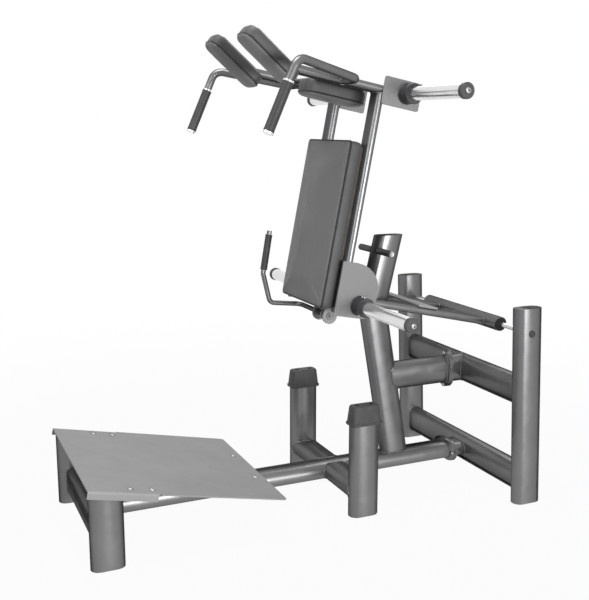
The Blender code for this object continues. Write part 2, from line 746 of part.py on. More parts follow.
def deck_drill(x, back, depth):
    return drill(BOLT_SHANK + 2 * GAP, deck_place(x, back, -depth), deck_place(x, back, depth))


def rail_bolts(side):
    return [(side * FRONT_BOLT_SPACING / 2, row, RAIL_THICK) for row in FRONT_BOLT_ROWS]


def bracket_bolts():
    back = PLATE_LENGTH - BRACKET_FROM_REAR
    return [(side * REAR_BOLT_SPACING / 2, back, BRACKET_SHEET) for side in (1, -1)]


def build_plate():
    # The plate is a folded sheet: flat, with a short flange turned down along the front part of each side
    half = PLATE_WIDTH / 2
    flat_half = half - SIDE_FLANGE_BEND
    steps = 4
    mesh = bpy.data.meshes.new("platform_plate")
    sheet = bmesh.new()
    rows = (0.0, SIDE_FLANGE_LENGTH, SIDE_FLANGE_LENGTH + FLANGE_RELIEF, PLATE_LENGTH)
    flat = {}
    for row in rows:
        for side in (1, -1):
            flat[row, side] = sheet.verts.new(deck_place(side * flat_half, row))
    for first, last in zip(rows[:-1], rows[1:]):
        sheet.faces.new((flat[first, 1], flat[last, 1], flat[last, -1], flat[first, -1]))
    for side in (1, -1):
        strip_edge = [flat[rows[0], side], flat[rows[1], side]]
        turns = [math.pi / 2 * step / steps for step in range(1, steps + 1)]
        section = [(flat_half + SIDE_FLANGE_BEND * math.sin(turn), SIDE_FLANGE_BEND * (1 - math.cos(turn)))
                   for turn in turns]
        section.append((half, SIDE_FLANGE_DROP))
        for x, down in section:
            next_edge = [sheet.verts.new(deck_place(side * x, row, down)) for row in rows[:2]]
            sheet.faces.new((strip_edge[0], strip_edge[1], next_edge[1], next_edge[0]))
            strip_edge = next_edge
        outer = [sheet.verts.new(deck_place(side * half, row)) for row in (rows[2], rows[3] - PLATE_CORNER)]
        sheet.faces.new((flat[rows[2], side], outer[0], outer[1], flat[rows[3], side]))
    bmesh.ops.recalc_face_normals(sheet, faces=sheet.faces)
    sheet.faces.ensure_lookup_table()
    if sheet.faces[0].normal.z < 0:
        bmesh.ops.reverse_faces(sheet, faces=sheet.faces)
    sheet.to_mesh(mesh)
    sheet.free()
    mesh.materials.append(plate_paint("platform_plate"))
    plate = bpy.data.objects.new("platform_plate", mesh)
    bpy.context.scene.collection.objects.link(plate)
    thickness = plate.modifiers.new("thickness", "SOLIDIFY")
    thickness.thickness = PLATE_THICK
    thickness.offset = -1
    thickness.use_even_offset = True
    places = rail_bolts(1) + rail_bolts(-1) + bracket_bolts()
    subtract(plate, [deck_drill(x, back, 6 * PLATE_THICK) for x, back, under in places])


def build_platform():
    leg_cut = (deck_place(0, 0, PLATE_THICK + RAIL_THICK + 2 * GAP), deck_normal())
    rail_middle = PLATE_THICK + GAP + RAIL_THICK / 2
    for name, side in SIDES:
        lane = standing_lane(side * LEG_SPACING / 2, LEG_Y, PLATE_FRONT_HEIGHT)
        closed_pipe("leg_" + name, lane, tube_outer(), tube_inner(), CAP_THICK, frame_paint("leg_" + name),
                    leg_cut, (lane.start, Z_AXIS))
        x = side * FRONT_BOLT_SPACING / 2
        start = deck_place(x, LEG_SETBACK, rail_middle)
        end = deck_place(x, LEG_SETBACK + RAIL_LENGTH, rail_middle)
        outline = rounded_outline(RAIL_WIDTH, RAIL_THICK, SHARP_RADIUS, 1)
        rail_name = "platform_rail_" + name
        rail = bar(rail_name, Lane(start, end, X_AXIS), outline, plate_paint(rail_name))
        unite(rail, [deck_bolt(*place) for place in rail_bolts(side)])
    reach = LEG_SPACING / 2 - HALF_THICK - GAP
    pipe("front_crossbar", crossbar_lane(reach, LEG_Y, BASE_TUBE_HEIGHT), tube_outer(), tube_inner(),
         frame_paint("front_crossbar"))
    build_plate()
    build_rear_bracket()


def build_rear_bracket():
    # An upside-down channel that stands across the spine and follows the slope of the plate
    back = PLATE_LENGTH - BRACKET_FROM_REAR
    middle = deck_place(0, back, PLATE_THICK + GAP)
    front = middle.y - BRACKET_DEPTH / 2
    rear = middle.y + BRACKET_DEPTH / 2
    fall = math.tan(PLATE_SLOPE)
    foot = SPINE_TOP + GAP
    sheet = BRACKET_SHEET

    def under(y, drop=0.0):
        return middle.z - fall * (y - middle.y) - drop / math.cos(PLATE_SLOPE)

    outline = [(front, foot), (front, under(front)), (rear, under(rear)), (rear, foot), (rear - sheet, foot),
               (rear - sheet, under(rear - sheet, sheet)), (front + sheet, under(front + sheet, sheet)),
               (front + sheet, foot)]
    rings = [[Vector((x, y, z)) for y, z in outline] for x in (-BRACKET_WIDTH / 2, BRACKET_WIDTH / 2)]
    piece = skin("platform_bracket", rings, plate_paint("platform_bracket"))
    unite(piece, [deck_bolt(*place) for place in bracket_bolts()])


def build_shaft():
    half = COLUMN_SPACING / 2 - HALF_THICK - GAP
    start = Vector((-half, PIVOT_Y, PIVOT_HEIGHT))
    radius = SHAFT_DIAMETER / 2
    profile = [(0, radius), (2 * half, radius)]
    shaft = turned("pivot_shaft", profile, start, X_AXIS, Z_AXIS, 24, chrome("pivot_shaft"))
    bores = []
    for name, side in SIDES:
        face = Vector((side * half, PIVOT_Y, PIVOT_HEIGHT))
        inward = -side * X_AXIS
        depth = inward * SHAFT_BOLT_DEPTH
        bores.append(drill(SHAFT_BOLT + 2 * GAP, face - depth, face + depth))
        head_seat = Vector((side * (COLUMN_SPACING / 2 + HALF_THICK + GAP), PIVOT_Y, PIVOT_HEIGHT))
        length = TUBE_THICK + SHAFT_BOLT_DEPTH - SHAFT_BOLT / 2
        profile = [(-SHAFT_BOLT * 0.6, SHAFT_BOLT_HEAD * 0.42), (-SHAFT_BOLT * 0.35, SHAFT_BOLT_HEAD / 2),
                   (0, SHAFT_BOLT_HEAD / 2), (0, SHAFT_BOLT / 2), (length, SHAFT_BOLT / 2)]
        turned("shaft_bolt_" + name, profile, head_seat, inward, Z_AXIS, 12, zinc("shaft_bolt_" + name))
    subtract(shaft, bores)


# The carriage is modelled in its own frame: X across, Y back along the shoulder tubes, Z up the uprights,
# with the main pivot at its origin; places named from the corner use corner_place
def corner_place(x, back, up):
    return Vector((x, back - UPRIGHT_REACH, up + CORNER_RISE))


def build_pivot_tube(carriage):
    half = PIVOT_TUBE_LENGTH / 2
    start = Vector((-half, 0, 0))
    outer = PIVOT_TUBE_DIAMETER / 2
    inner = (BEARING_DIAMETER / 2 + GAP) / math.cos(math.pi / 24)
    profile = [(0, outer), (2 * half, outer), (2 * half, inner), (0, inner)]
    turned("pivot_tube", profile, start, X_AXIS, Z_AXIS, 24, frame_paint("pivot_tube"), True, carriage)
    bore = (SHAFT_DIAMETER / 2 + GAP) / math.cos(math.pi / 24)
    lip = BEARING_LIP_DIAMETER / 2
    body = BEARING_DIAMETER / 2
    for name, side in SIDES:
        face = Vector((side * half, 0, 0))
        profile = [(-BEARING_LENGTH, bore), (-BEARING_LENGTH, body), (GAP, body), (GAP, lip),
                   (GAP + BEARING_LIP, lip), (GAP + BEARING_LIP, bore)]
        full_name = "pivot_bearing_" + name
        turned(full_name, profile, face, side * X_AXIS, Z_AXIS, 24, zinc(full_name), True, carriage)


def upright_rear():
    # Rear face of the uprights in the carriage's frame
    return UPRIGHT_SETBACK + UPRIGHT_DEPTH / 2 - UPRIGHT_REACH


def arm_lane(x):
    return Lane((x, 0, -ARM_DROP_REAR), (x, upright_rear(), ARM_RISE_FRONT), X_AXIS)


def hollow_oval(wide, thick):
    return oval_outline(wide, thick), oval_outline(wide - 2 * TUBE_WALL, thick - 2 * TUBE_WALL)


def box(width, tall, shrink=0.0):
    return rounded_outline(width - 2 * shrink, tall - 2 * shrink, BOX_RADIUS - shrink, 2)


def build_arms(carriage):
    face = (Vector((0, upright_rear() + GAP, 0)), Y_AXIS)
    outer, inner = hollow_oval(ARM_WIDTH, ARM_TALL)
    for name, side in SIDES:
        lane = arm_lane(side * ARM_SPACING / 2)
        arm = pipe("arm_" + name, lane, outer, inner, frame_paint("arm_" + name), None, face, carriage)
        middle = side * ARM_SPACING / 2 * X_AXIS
        reach = X_AXIS * ARM_WIDTH
        subtract(arm, [drill(PIVOT_TUBE_DIAMETER + 2 * GAP, middle - reach, middle + reach, 24)])
    lane = arm_lane(0)
    upward = lane.across.cross(lane.along)
    if upward.z < 0:
        upward = -upward
    middle = lane.at(TIE_FROM_PIVOT) + upward * (ARM_TALL / 2 + GAP + TIE_THICK / 2)
    half = X_AXIS * TIE_WIDTH / 2
    outline = rounded_outline(TIE_DEPTH, TIE_THICK, SHARP_RADIUS, 1)
    tie_lane = Lane(middle - half, middle + half, lane.along)
    bar("arm_tie", tie_lane, outline, plate_paint("arm_tie"), parent=carriage)


def pad_plane():
    # Directions of the inclined shoulder pads: along them toward their high end, and out of their back
    along = Vector((0, -math.cos(FRONT_PAD_ANGLE), math.sin(FRONT_PAD_ANGLE)))
    back = Vector((0, math.sin(FRONT_PAD_ANGLE), math.cos(FRONT_PAD_ANGLE)))
    return along, back


def shoulder_lane(x):
    return Lane(corner_place(x, SHOULDER_REAR, SHOULDER_RISE), corner_place(x, -FRONT_PAD_START, SHOULDER_RISE),
                X_AXIS)


def build_uprights(carriage):
    foot = -UPRIGHT_DROP
    head = SHOULDER_RISE - SHOULDER_TALL / 2 - GAP
    along, back = pad_plane()
    plate_back = corner_place(0, 0, 0) + back * (MOUNT_PLATE_THICK - FRONT_PAD_BACK)
    outer, inner = hollow_oval(UPRIGHT_WIDTH, UPRIGHT_DEPTH)
    shoulder_outer, shoulder_inner = hollow_oval(SHOULDER_WIDTH, SHOULDER_TALL)
    for name, side in SIDES:
        x = side * UPRIGHT_SPACING / 2
        lane = Lane(corner_place(x, UPRIGHT_SETBACK, foot), corner_place(x, UPRIGHT_SETBACK, head), X_AXIS)
        closed_pipe("upright_" + name, lane, outer, inner, TUBE_WALL, frame_paint("upright_" + name),
                    (lane.end, lane.along), (lane.start, lane.along), carriage)

        # The shoulder tube has a closed rear end, a vent under it, and a pad plate on its slanted front end
        lane = shoulder_lane(x)
        front_cut = (plate_back - back * MOUNT_PLATE_THICK / 2, back)
        full_name = "shoulder_tube_" + name
        tube = closed_pipe(full_name, lane, shoulder_outer, shoulder_inner, TUBE_WALL, frame_paint(full_name),
                           front_cut, (lane.start, lane.along), carriage)
        low_end = corner_place(x, 0, 0) - back * FRONT_PAD_BACK + along * FRONT_PAD_START
        middle = low_end + along * FRONT_PAD_LENGTH / 2
        plate_outline = rounded_outline(MOUNT_PLATE_WIDTH, MOUNT_PLATE_LENGTH, MOUNT_PLATE_CORNER, 2)
        plate_lane = Lane(middle, middle + back * MOUNT_PLATE_THICK, X_AXIS)
        plate = bar("plate", plate_lane, plate_outline, CUTTER_MATERIAL, parent=carriage)
        unite(tube, [plate])
        vent = lane.at(VENT_FROM_REAR)
        subtract(tube, [drill(VENT_DIAMETER, vent - Z_AXIS * SHOULDER_TALL, vent)])


def side_plate_outline():
    # (back, up) points from the corner: square in front, one large round behind and a small one at the foot
    front = -SIDE_PLATE_FRONT
    middle_back = SIDE_PLATE_BACK - SIDE_PLATE_ROUND
    middle_up = -SIDE_PLATE_TOP - SIDE_PLATE_ROUND
    points = [(front, -SIDE_PLATE_FOOT), (front, -SIDE_PLATE_TOP)]
    steps = 8
    for step in range(steps + 1):
        angle = math.radians(90 - SIDE_PLATE_SWEEP * step / steps)
        rise = SIDE_PLATE_ROUND * math.sin(angle)
        points.append((middle_back + SIDE_PLATE_ROUND * math.cos(angle), middle_up + rise))
    foot_middle = points[-1][0] - SIDE_PLATE_FOOT_ROUND * 0.9
    for step in range(1, 4):
        angle = math.radians(90 - SIDE_PLATE_SWEEP - (180 - SIDE_PLATE_SWEEP) * step / 3)
        points.append((foot_middle + SIDE_PLATE_FOOT_ROUND * math.cos(angle),
                       -SIDE_PLATE_FOOT + SIDE_PLATE_FOOT_ROUND * (1 + math.sin(angle))))
    return points


def upright_outside():
    return UPRIGHT_SPACING / 2 + UPRIGHT_WIDTH / 2


def shoulder_outside():
    return UPRIGHT_SPACING / 2 + SHOULDER_WIDTH / 2


def collar(start, back, up, side, carriage):
    # The flanged socket of a weight horn, sunk a little into its plate so that the two are one body
    sides = 24
    bore = (SLEEVE_DIAMETER / 2 + GAP) / math.cos(math.pi / sides)
    length = COLLAR_END - start
    ring_start = length - COLLAR_RING
    sink = -COLLAR_SINK
    profile = [(sink, bore), (sink, COLLAR_DIAMETER / 2), (ring_start, COLLAR_DIAMETER / 2),
               (ring_start, COLLAR_RING_DIAMETER / 2), (length, COLLAR_RING_DIAMETER / 2), (length, bore)]
    root = corner_place(side * start, back, up)
    return turned("collar", profile, root, side * X_AXIS, Z_AXIS, sides, CUTTER_MATERIAL, True, carriage)


def build_side_plates(carriage):
    (lower_start, lower_back, lower_up), (upper_start, upper_back, upper_up) = horn_places()
    for name, side in SIDES:
        near = side * (lower_start - SIDE_PLATE_THICK)
        faces = (near, side * lower_start)
        rings = [[corner_place(x, back, up) for back, up in side_plate_outline()] for x in faces]
        plate = skin("side_plate_" + name, rings, plate_paint("side_plate_" + name), parent=carriage)
        unite(plate, [collar(lower_start, lower_back, lower_up, side, carriage)])

        near = side * (upper_start - SIDE_PLATE_THICK)
        back = HORN_PLATE_START + HORN_PLATE_LENGTH / 2
        inner_place = corner_place(near, back, HORN_PLATE_RISE)
        lane = Lane(inner_place, corner_place(side * upper_start, back, HORN_PLATE_RISE), Y_AXIS)
        outline = rounded_outline(HORN_PLATE_LENGTH, HORN_PLATE_TALL, HORN_PLATE_CORNER, 2)
        full_name = "horn_plate_" + name
        plate = bar(full_name, lane, outline, plate_paint(full_name), parent=carriage)
        unite(plate, [collar(upper_start, upper_back, upper_up, side, carriage)])


def horn_places():
    # Outer face of the plate, and the axis back and up from the corner, for the lower and the upper horns
    lower_start = upright_outside() + GAP + SIDE_PLATE_THICK
    upper_start = shoulder_outside() + GAP + SIDE_PLATE_THICK
    return ((lower_start, LOWER_HORN_BACK, -LOWER_HORN_DROP), (upper_start, UPPER_HORN_BACK, UPPER_HORN_RISE))


def build_horns(carriage):
    sides = 24
    sleeve = SLEEVE_DIAMETER / 2
    hollow = sleeve - SLEEVE_WALL
    stem = (hollow - GAP) * math.cos(math.pi / sides)
    edge = END_CAP_DIAMETER / 2
    head = HORN_BOLT_DIAMETER / 2
    for level, (start, back, up) in zip(("lower", "upper"), horn_places()):
        for name, side in SIDES:
            root = corner_place(side * start, back, up)
            outward = side * X_AXIS
            horn_end = HORN_END - start
            face = horn_end - HORN_BOLT_HEIGHT - END_CAP_LENGTH
            profile = [(GAP, hollow), (GAP, sleeve), (face - GAP, sleeve), (face - GAP, hollow)]
            full_name = level + "_horn_" + name
            turned(full_name, profile, root, outward, Z_AXIS, sides, chrome(full_name), True, carriage)
            cap_end = face + END_CAP_LENGTH
            profile = [(face - PLUG_DEPTH, stem), (face, stem), (face, edge), (cap_end - SOFT_EDGE, edge),
                       (cap_end, edge - SOFT_EDGE), (cap_end, head), (cap_end + HORN_BOLT_HEIGHT * 0.6, head),
                       (horn_end, head * 0.75)]
            full_name = level + "_horn_cap_" + name
            turned(full_name, profile, root, outward, Z_AXIS, sides, black_rubber(full_name), False, carriage)


def handle_corners(side):
    root = corner_place(side * (shoulder_outside() - HANDLE_COPE), -HANDLE_REAR, HANDLE_REAR_RISE)
    turn = corner_place(side * HANDLE_REAR_SPREAD / 2, -HANDLE_REAR, HANDLE_REAR_RISE)
    bend = corner_place(side * HANDLE_SPREAD / 2, -HANDLE_BEND_FORWARD, HANDLE_BEND_RISE)
    down = Vector((0, -math.sin(HANDLE_LEG_ANGLE), -math.cos(HANDLE_LEG_ANGLE)))
    return root, turn, bend, down


def build_handles(carriage):
    sides = 12
    outer = HANDLE_DIAMETER / 2
    inner = outer - HANDLE_WALL
    ferrule = FERRULE_DIAMETER / 2
    cap = HANDLE_CAP_DIAMETER / 2
    bore = (outer + GAP) / math.cos(math.pi / sides)
    ferrule_start = GRIP_START - GAP - FERRULE_LENGTH
    grip_end = HANDLE_LEG - GAP
    for name, side in SIDES:
        root, turn, bend, down = handle_corners(side)
        places = bend_points([root, turn, bend, bend + down * ferrule_start], HANDLE_BEND_RADIUS)
        rings, lane = bent_rings(places, outer, sides, X_AXIS)
        bore_rings, bore_lane = bent_rings(places, inner, sides, X_AXIS)
        bore_end = bend + down * (HANDLE_LEG - HANDLE_WALL)
        bore_rings.append(bore_lane.ring(round_outline(inner, sides), bore_end))
        steps = ((ferrule_start, ferrule), (ferrule_start + FERRULE_LENGTH, ferrule),
                 (ferrule_start + FERRULE_LENGTH, outer), (HANDLE_LEG, outer), (HANDLE_LEG, cap),
                 (HANDLE_LEG + HANDLE_CAP_LENGTH * 0.6, cap), (HANDLE_LEG + HANDLE_CAP_LENGTH, outer * 0.6))
        leg_rings = [lane.ring(round_outline(radius, sides), bend + down * place) for place, radius in steps]
        all_rings = bore_rings[::-1] + rings + leg_rings
        handle = skin("handle_" + name, all_rings, frame_paint("handle_" + name), parent=carriage)
        clearance = oval_outline(SHOULDER_WIDTH + 2 * GAP, SHOULDER_TALL + 2 * GAP)
        subtract(handle, [bar("cutter", shoulder_lane(side * UPRIGHT_SPACING / 2), clearance, CUTTER_MATERIAL)])
        grip = GRIP_DIAMETER / 2
        profile = [(GRIP_START, bore), (GRIP_START, grip - GRIP_EDGE / 2), (GRIP_START + GRIP_EDGE, grip),
                   (grip_end - GRIP_EDGE, grip), (grip_end, grip - GRIP_EDGE / 2), (grip_end, bore)]
        full_name = "handle_grip_" + name
        turned(full_name, profile, bend, down, X_AXIS, sides, black_rubber(full_name), True, carriage)


def cushion(name, width, length, depth, crown, radius, frame, carriage):
    # A rounded slab whose side bulges a little, draws in at its seam and rises to a crown
    # Frame holds the directions across, along and out of the contact face, and the middle of the back
    steps = 5
    layers = [(SEAM_DRAW, 0.0), (0.0, depth * 0.25), (0.0, depth * 0.7), (SEAM_DRAW, depth)]
    layers += [(inset, depth + crown * share) for inset, share in CROWN_STEPS]
    rings = []
    for inset, height in layers:
        corner = max(radius - inset, CROWN_CORNER)
        outline = rounded_outline(width - 2 * inset, length - 2 * inset, corner, steps)
        rings.append([frame @ Vector((u, v, height)) for u, v in outline])
    return smooth(skin(name, rings, grey_vinyl(name), parent=carriage))


def pad_frame(across, along, outward, middle):
    columns = Matrix((across, along, outward)).transposed().to_4x4()
    return Matrix.Translation(middle) @ columns


def build_cushions(carriage):
    # Back pad on its board, in front of the uprights
    board_back = UPRIGHT_SETBACK - UPRIGHT_DEPTH / 2 - GAP
    middle_up = -BACK_PAD_TOP - BACK_PAD_LENGTH / 2
    board_front = board_back - BOARD_THICK
    lane = Lane(corner_place(0, board_back, middle_up), corner_place(0, board_front, middle_up), X_AXIS)
    board_width = BACK_PAD_WIDTH - 2 * BOARD_INSET
    outline = rounded_outline(board_width, BACK_PAD_LENGTH - 2 * BOARD_INSET, BACK_PAD_ROUND, 3)
    bar("back_board", lane, outline, birch_ply("back_board"), parent=carriage)
    frame = pad_frame(X_AXIS, Z_AXIS, -Y_AXIS, corner_place(0, board_front - GAP, middle_up))
    cushion("back_pad", BACK_PAD_WIDTH, BACK_PAD_LENGTH, BACK_PAD_DEPTH, BACK_PAD_CROWN, BACK_PAD_ROUND, frame,
            carriage)

    # Inclined shoulder pads on the plates at the front ends of the shoulder tubes
    along, back = pad_plane()
    for name, side in SIDES:
        x = side * UPRIGHT_SPACING / 2
        low_end = corner_place(x, 0, 0) - back * (FRONT_PAD_BACK + GAP) + along * FRONT_PAD_START
        frame = pad_frame(X_AXIS, along, -back, low_end + along * FRONT_PAD_LENGTH / 2)
        cushion("shoulder_pad_" + name, FRONT_PAD_WIDTH, FRONT_PAD_LENGTH, FRONT_PAD_DEPTH, FRONT_PAD_CROWN,
                FRONT_PAD_ROUND, frame, carriage)

    # Neck pad under a flat plate that spans the shoulder tubes
    middle_back = (CENTRE_PAD_BACK - CENTRE_PAD_FRONT) / 2
    length = CENTRE_PAD_FRONT + CENTRE_PAD_BACK
    top = corner_place(0, middle_back, CENTRE_PAD_TOP)
    frame = pad_frame(X_AXIS, Y_AXIS, -Z_AXIS, top)
    cushion("neck_pad", CENTRE_PAD_WIDTH, length, CENTRE_PAD_DEPTH, CENTRE_PAD_CROWN, CENTRE_PAD_ROUND, frame,
            carriage)
    reach = UPRIGHT_SPACING / 2 - SHOULDER_WIDTH / 2 - GAP
    up = CENTRE_PAD_TOP + GAP + PAD_BAR_THICK / 2
    lane = Lane(corner_place(-reach, middle_back, up), corner_place(reach, middle_back, up), Y_AXIS)
    outline = rounded_outline(PAD_BAR_DEPTH, PAD_BAR_THICK, SHARP_RADIUS, 1)
    bar("neck_pad_plate", lane, outline, plate_paint("neck_pad_plate"), parent=carriage)


def build_release_mount(carriage):
    # Cross tube between the arms, with two lugs welded under it that carry the release shaft
    back = RELEASE_BEHIND
    up = -UPRIGHT_DROP + CROSS_TUBE_RISE
    reach = ARM_SPACING / 2 - ARM_WIDTH / 2 - GAP
    lane = Lane(corner_place(-reach, back, up), corner_place(reach, back, up), Y_AXIS)
    tube = pipe("cross_tube", lane, box(CROSS_TUBE_DEPTH, CROSS_TUBE_TALL),
                box(CROSS_TUBE_DEPTH, CROSS_TUBE_TALL, TUBE_WALL), frame_paint("cross_tube"), parent=carriage)
    lugs = []
    top = up + CORNER_RISE - CROSS_TUBE_TALL / 2 + TUBE_WALL / 2
    steps = 8
    half = LUG_WIDTH / 2
    half_top = CROSS_TUBE_DEPTH / 2 - BOX_RADIUS
    outline = [(-half_top, top), (half_top, top)]
    for step in range(steps + 1):
        angle = -math.pi * step / steps
        outline.append((half * math.cos(angle), -RELEASE_DROP + half * math.sin(angle)))
    place = Vector((0, -RELEASE_BACK, -RELEASE_DROP))
    for side in (1, -1):
        near = side * (LUG_SPACING - LUG_THICK) / 2
        far = near + side * LUG_THICK
        rings = [[Vector((x, y - RELEASE_BACK, z)) for y, z in outline] for x in (near, far)]
        lug = skin("lug", rings, CUTTER_MATERIAL, parent=carriage)
        hole = drill(RELEASE_DIAMETER + 2 * GAP, place + X_AXIS * (near - side * LUG_THICK),
                     place + X_AXIS * (far + side * LUG_THICK), 16)
        lugs.append(subtract(lug, [hole]))
    unite(tube, lugs)


def build_release(handle):
    # Modelled about its own shaft, in a frame that stands square to the floor
    sides = 16
    radius = RELEASE_DIAMETER / 2
    shaft_end = LUG_SPACING / 2 + LUG_THICK / 2 + GAP
    corner = Vector((-RELEASE_REACH, -RELEASE_FORWARD, RELEASE_CORNER_RISE))
    knee = corner + Z_AXIS * RELEASE_KNEE - Y_AXIS * RELEASE_KNEE_FORWARD
    top = corner + Z_AXIS * RELEASE_TALL
    side_turn = Vector((-RELEASE_REACH, 0, 0))
    places = bend_points([Vector((shaft_end, 0, 0)), side_turn, corner, knee, top], RELEASE_BEND)
    rings, last = bent_rings(places, radius, sides)
    first = Lane((0, 0, 0), -X_AXIS, (places[1] - places[0]).orthogonal())
    washer = RETAINER_DIAMETER / 2
    head = BOLT_HEAD / 2
    steps = ((RETAINER_THICK + BOLT_HEAD_HEIGHT, head), (RETAINER_THICK, head), (RETAINER_THICK, washer),
             (0, washer))
    retainer = [first.ring(round_outline(size, sides), (shaft_end + out, 0, 0)) for out, size in steps]
    smooth(skin("release_lever", retainer + rings, chrome("release_lever"), parent=handle))

    bore = (radius + GAP) / math.cos(math.pi / sides)
    grip = RELEASE_GRIP_DIAMETER / 2
    grip_down = (knee - top).normalized()
    grip_top = top + grip_down * RELEASE_GRIP_FROM_TOP
    length = RELEASE_GRIP_LENGTH
    profile = [(0, bore), (0, grip - GRIP_EDGE / 2), (GRIP_EDGE, grip), (length - GRIP_EDGE, grip),
               (length, grip - GRIP_EDGE / 2), (length, bore)]
    grip_paint = black_rubber("release_grip")
    turned("release_grip", profile, grip_top, grip_down, X_AXIS, sides, grip_paint, True, handle)

    # Pawl: drawn closed and level over the ledge, then turned up to its open rest
    outline = [(PAWL_REACH, PAWL_CLEARANCE), (PAWL_REACH, PAWL_CLEARANCE + PAWL_TALL)]
    steps = 8
    for step in range(steps + 1):
        angle = math.radians(80 + 190 * step / steps)
        outline.append((PAWL_HUB * math.cos(angle), PAWL_HUB * math.sin(angle)))
    outline.append((PAWL_HUB * 1.6, PAWL_CLEARANCE - PAWL_HUB * 0.6))
    outline.append((PAWL_REACH * 0.8, PAWL_CLEARANCE - PAWL_HUB * 0.3))
    outline.append((PAWL_REACH * 0.82, PAWL_CLEARANCE))
    turn = Matrix.Rotation(PAWL_OPEN, 3, "X")
    rings = [[turn @ Vector((x, y, z)) for y, z in outline] for x in (-PAWL_THICK / 2, PAWL_THICK / 2)]
    pawl = skin("catch_pawl", rings, plate_paint("catch_pawl"), parent=handle)
    subtract(pawl, [drill(RELEASE_DIAMETER + 2 * GAP, -X_AXIS * PAWL_THICK, X_AXIS * PAWL_THICK, 16)])


def pivot_empty(name, location, tilt, parent=None):
    empty = bpy.data.objects.new(name, None)
    bpy.context.scene.collection.objects.link(empty)
    empty.parent = parent
    empty.location = location
    empty.rotation_euler = (tilt, 0, 0)
    return empty


clear_scene()
CUTTER_MATERIAL = make_material("cutter", (0.8, 0.1, 0.1), 0.5, 0.0)
ZINC = zinc("bolts")
FLANGE_PAINT = frame_paint("joint_flanges")

build_columns()
build_spine_and_brace()
build_post()
build_stops()
build_platform()
build_shaft()

lever_pivot = pivot_empty("lever_pivot", (0, PIVOT_Y, PIVOT_HEIGHT), -CARRIAGE_TILT)
build_pivot_tube(lever_pivot)
build_arms(lever_pivot)
build_uprights(lever_pivot)
build_side_plates(lever_pivot)
build_horns(lever_pivot)
build_handles(lever_pivot)
build_cushions(lever_pivot)
build_release_mount(lever_pivot)

release_pivot = pivot_empty("release_pivot", (0, -RELEASE_BACK, -RELEASE_DROP), CARRIAGE_TILT, lever_pivot)
build_release(release_pivot)
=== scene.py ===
import math

import bmesh
import bpy
from mathutils import Matrix, Vector


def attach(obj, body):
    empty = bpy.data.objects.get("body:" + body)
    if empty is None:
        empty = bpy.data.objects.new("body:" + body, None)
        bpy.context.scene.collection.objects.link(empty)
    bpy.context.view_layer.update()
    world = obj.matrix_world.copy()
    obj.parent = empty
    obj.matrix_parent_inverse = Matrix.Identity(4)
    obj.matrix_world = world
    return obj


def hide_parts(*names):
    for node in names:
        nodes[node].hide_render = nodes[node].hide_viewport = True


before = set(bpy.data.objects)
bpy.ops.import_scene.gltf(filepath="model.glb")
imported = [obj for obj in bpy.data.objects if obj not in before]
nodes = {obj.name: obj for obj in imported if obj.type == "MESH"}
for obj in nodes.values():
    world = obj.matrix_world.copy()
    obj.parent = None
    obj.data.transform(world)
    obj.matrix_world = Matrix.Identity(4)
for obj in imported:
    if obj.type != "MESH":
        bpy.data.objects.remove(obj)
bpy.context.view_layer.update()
scene = bpy.context.scene
print("frame loaded:", len(nodes), "nodes")


# camera and studio, metres and degrees
studio = {
    "cameraPlace": (3.148, -1.3835, 1.466),
    "cameraTurn": 66.1,
    "cameraDip": 10.91,           # below level
    "lens": 54.108,
    "sensor": 36.0,
    "clip": (0.05, 80.0),
    "white": (1, 1, 1, 1),
    "floorRadius": 14.0,
    "floorSides": 96,
    "floorColour": (0.32, 0.32, 0.32),
    "floorGlow": 0.96,            # how much of the floor's white shows, under the machine
    "floorFade": (0.9, 4.0),      # metres from the middle over which the floor turns pure white
    "worldFill": 0.04,            # the background's light on matt surfaces
    "worldShown": 1.0,            # and as the camera and glossy surfaces see it
    # name, azimuth, elevation, distance, width, height, watts
    "lamps": (
        ("keyLamp", 22, 28, 4.4, 1.8, 1.8, 75),
        ("stripLamp", 96, 0.5, 8.0, 3.4, 1.2, 600),
        ("topLamp", 20, 78, 4.0, 2.2, 2.2, 130),
        ("rearLamp", 225, 38, 4.6, 1.8, 1.8, 50),
    ),
    "lampTarget": (0.0, 0.0, 0.75),
}


def addToScene(name, data):
    thing = bpy.data.objects.new(name, data)
    scene.collection.objects.link(thing)
    return thing


def addNode(tree, kind, **values):
    # a value is one of the node's own settings, or what a socket of that name is set to
    node = tree.nodes.new(kind)
    for key, value in values.items():
        if hasattr(node, key):
            setattr(node, key, value)
        else:
            node.inputs[key].default_value = value
    return node


def buildCamera():
    data = bpy.data.cameras.new("photoCamera")
    data.lens = studio["lens"]
    data.sensor_width = studio["sensor"]
    data.clip_start, data.clip_end = studio["clip"]
    camera = addToScene("photoCamera", data)
    camera.location = studio["cameraPlace"]
    camera.rotation_euler = (math.radians(90 - studio["cameraDip"]), 0, math.radians(studio["cameraTurn"]))
    scene.camera = camera


def buildLamps():
    target = Vector(studio["lampTarget"])
    for name, azimuth, elevation, distance, width, height, watts in studio["lamps"]:
        turn = math.radians(azimuth)
        rise = math.radians(elevation)
        away = Vector((math.sin(turn) * math.cos(rise), -math.cos(turn) * math.cos(rise), math.sin(rise)))
        data = bpy.data.lights.new(name, "AREA")
        data.shape = "RECTANGLE"
        data.size = width
        data.size_y = height
        data.energy = watts
        lamp = addToScene(name, data)
        lamp.location = target + away * distance
        lamp.rotation_euler = (-away).to_track_quat("-Z", "Y").to_euler()


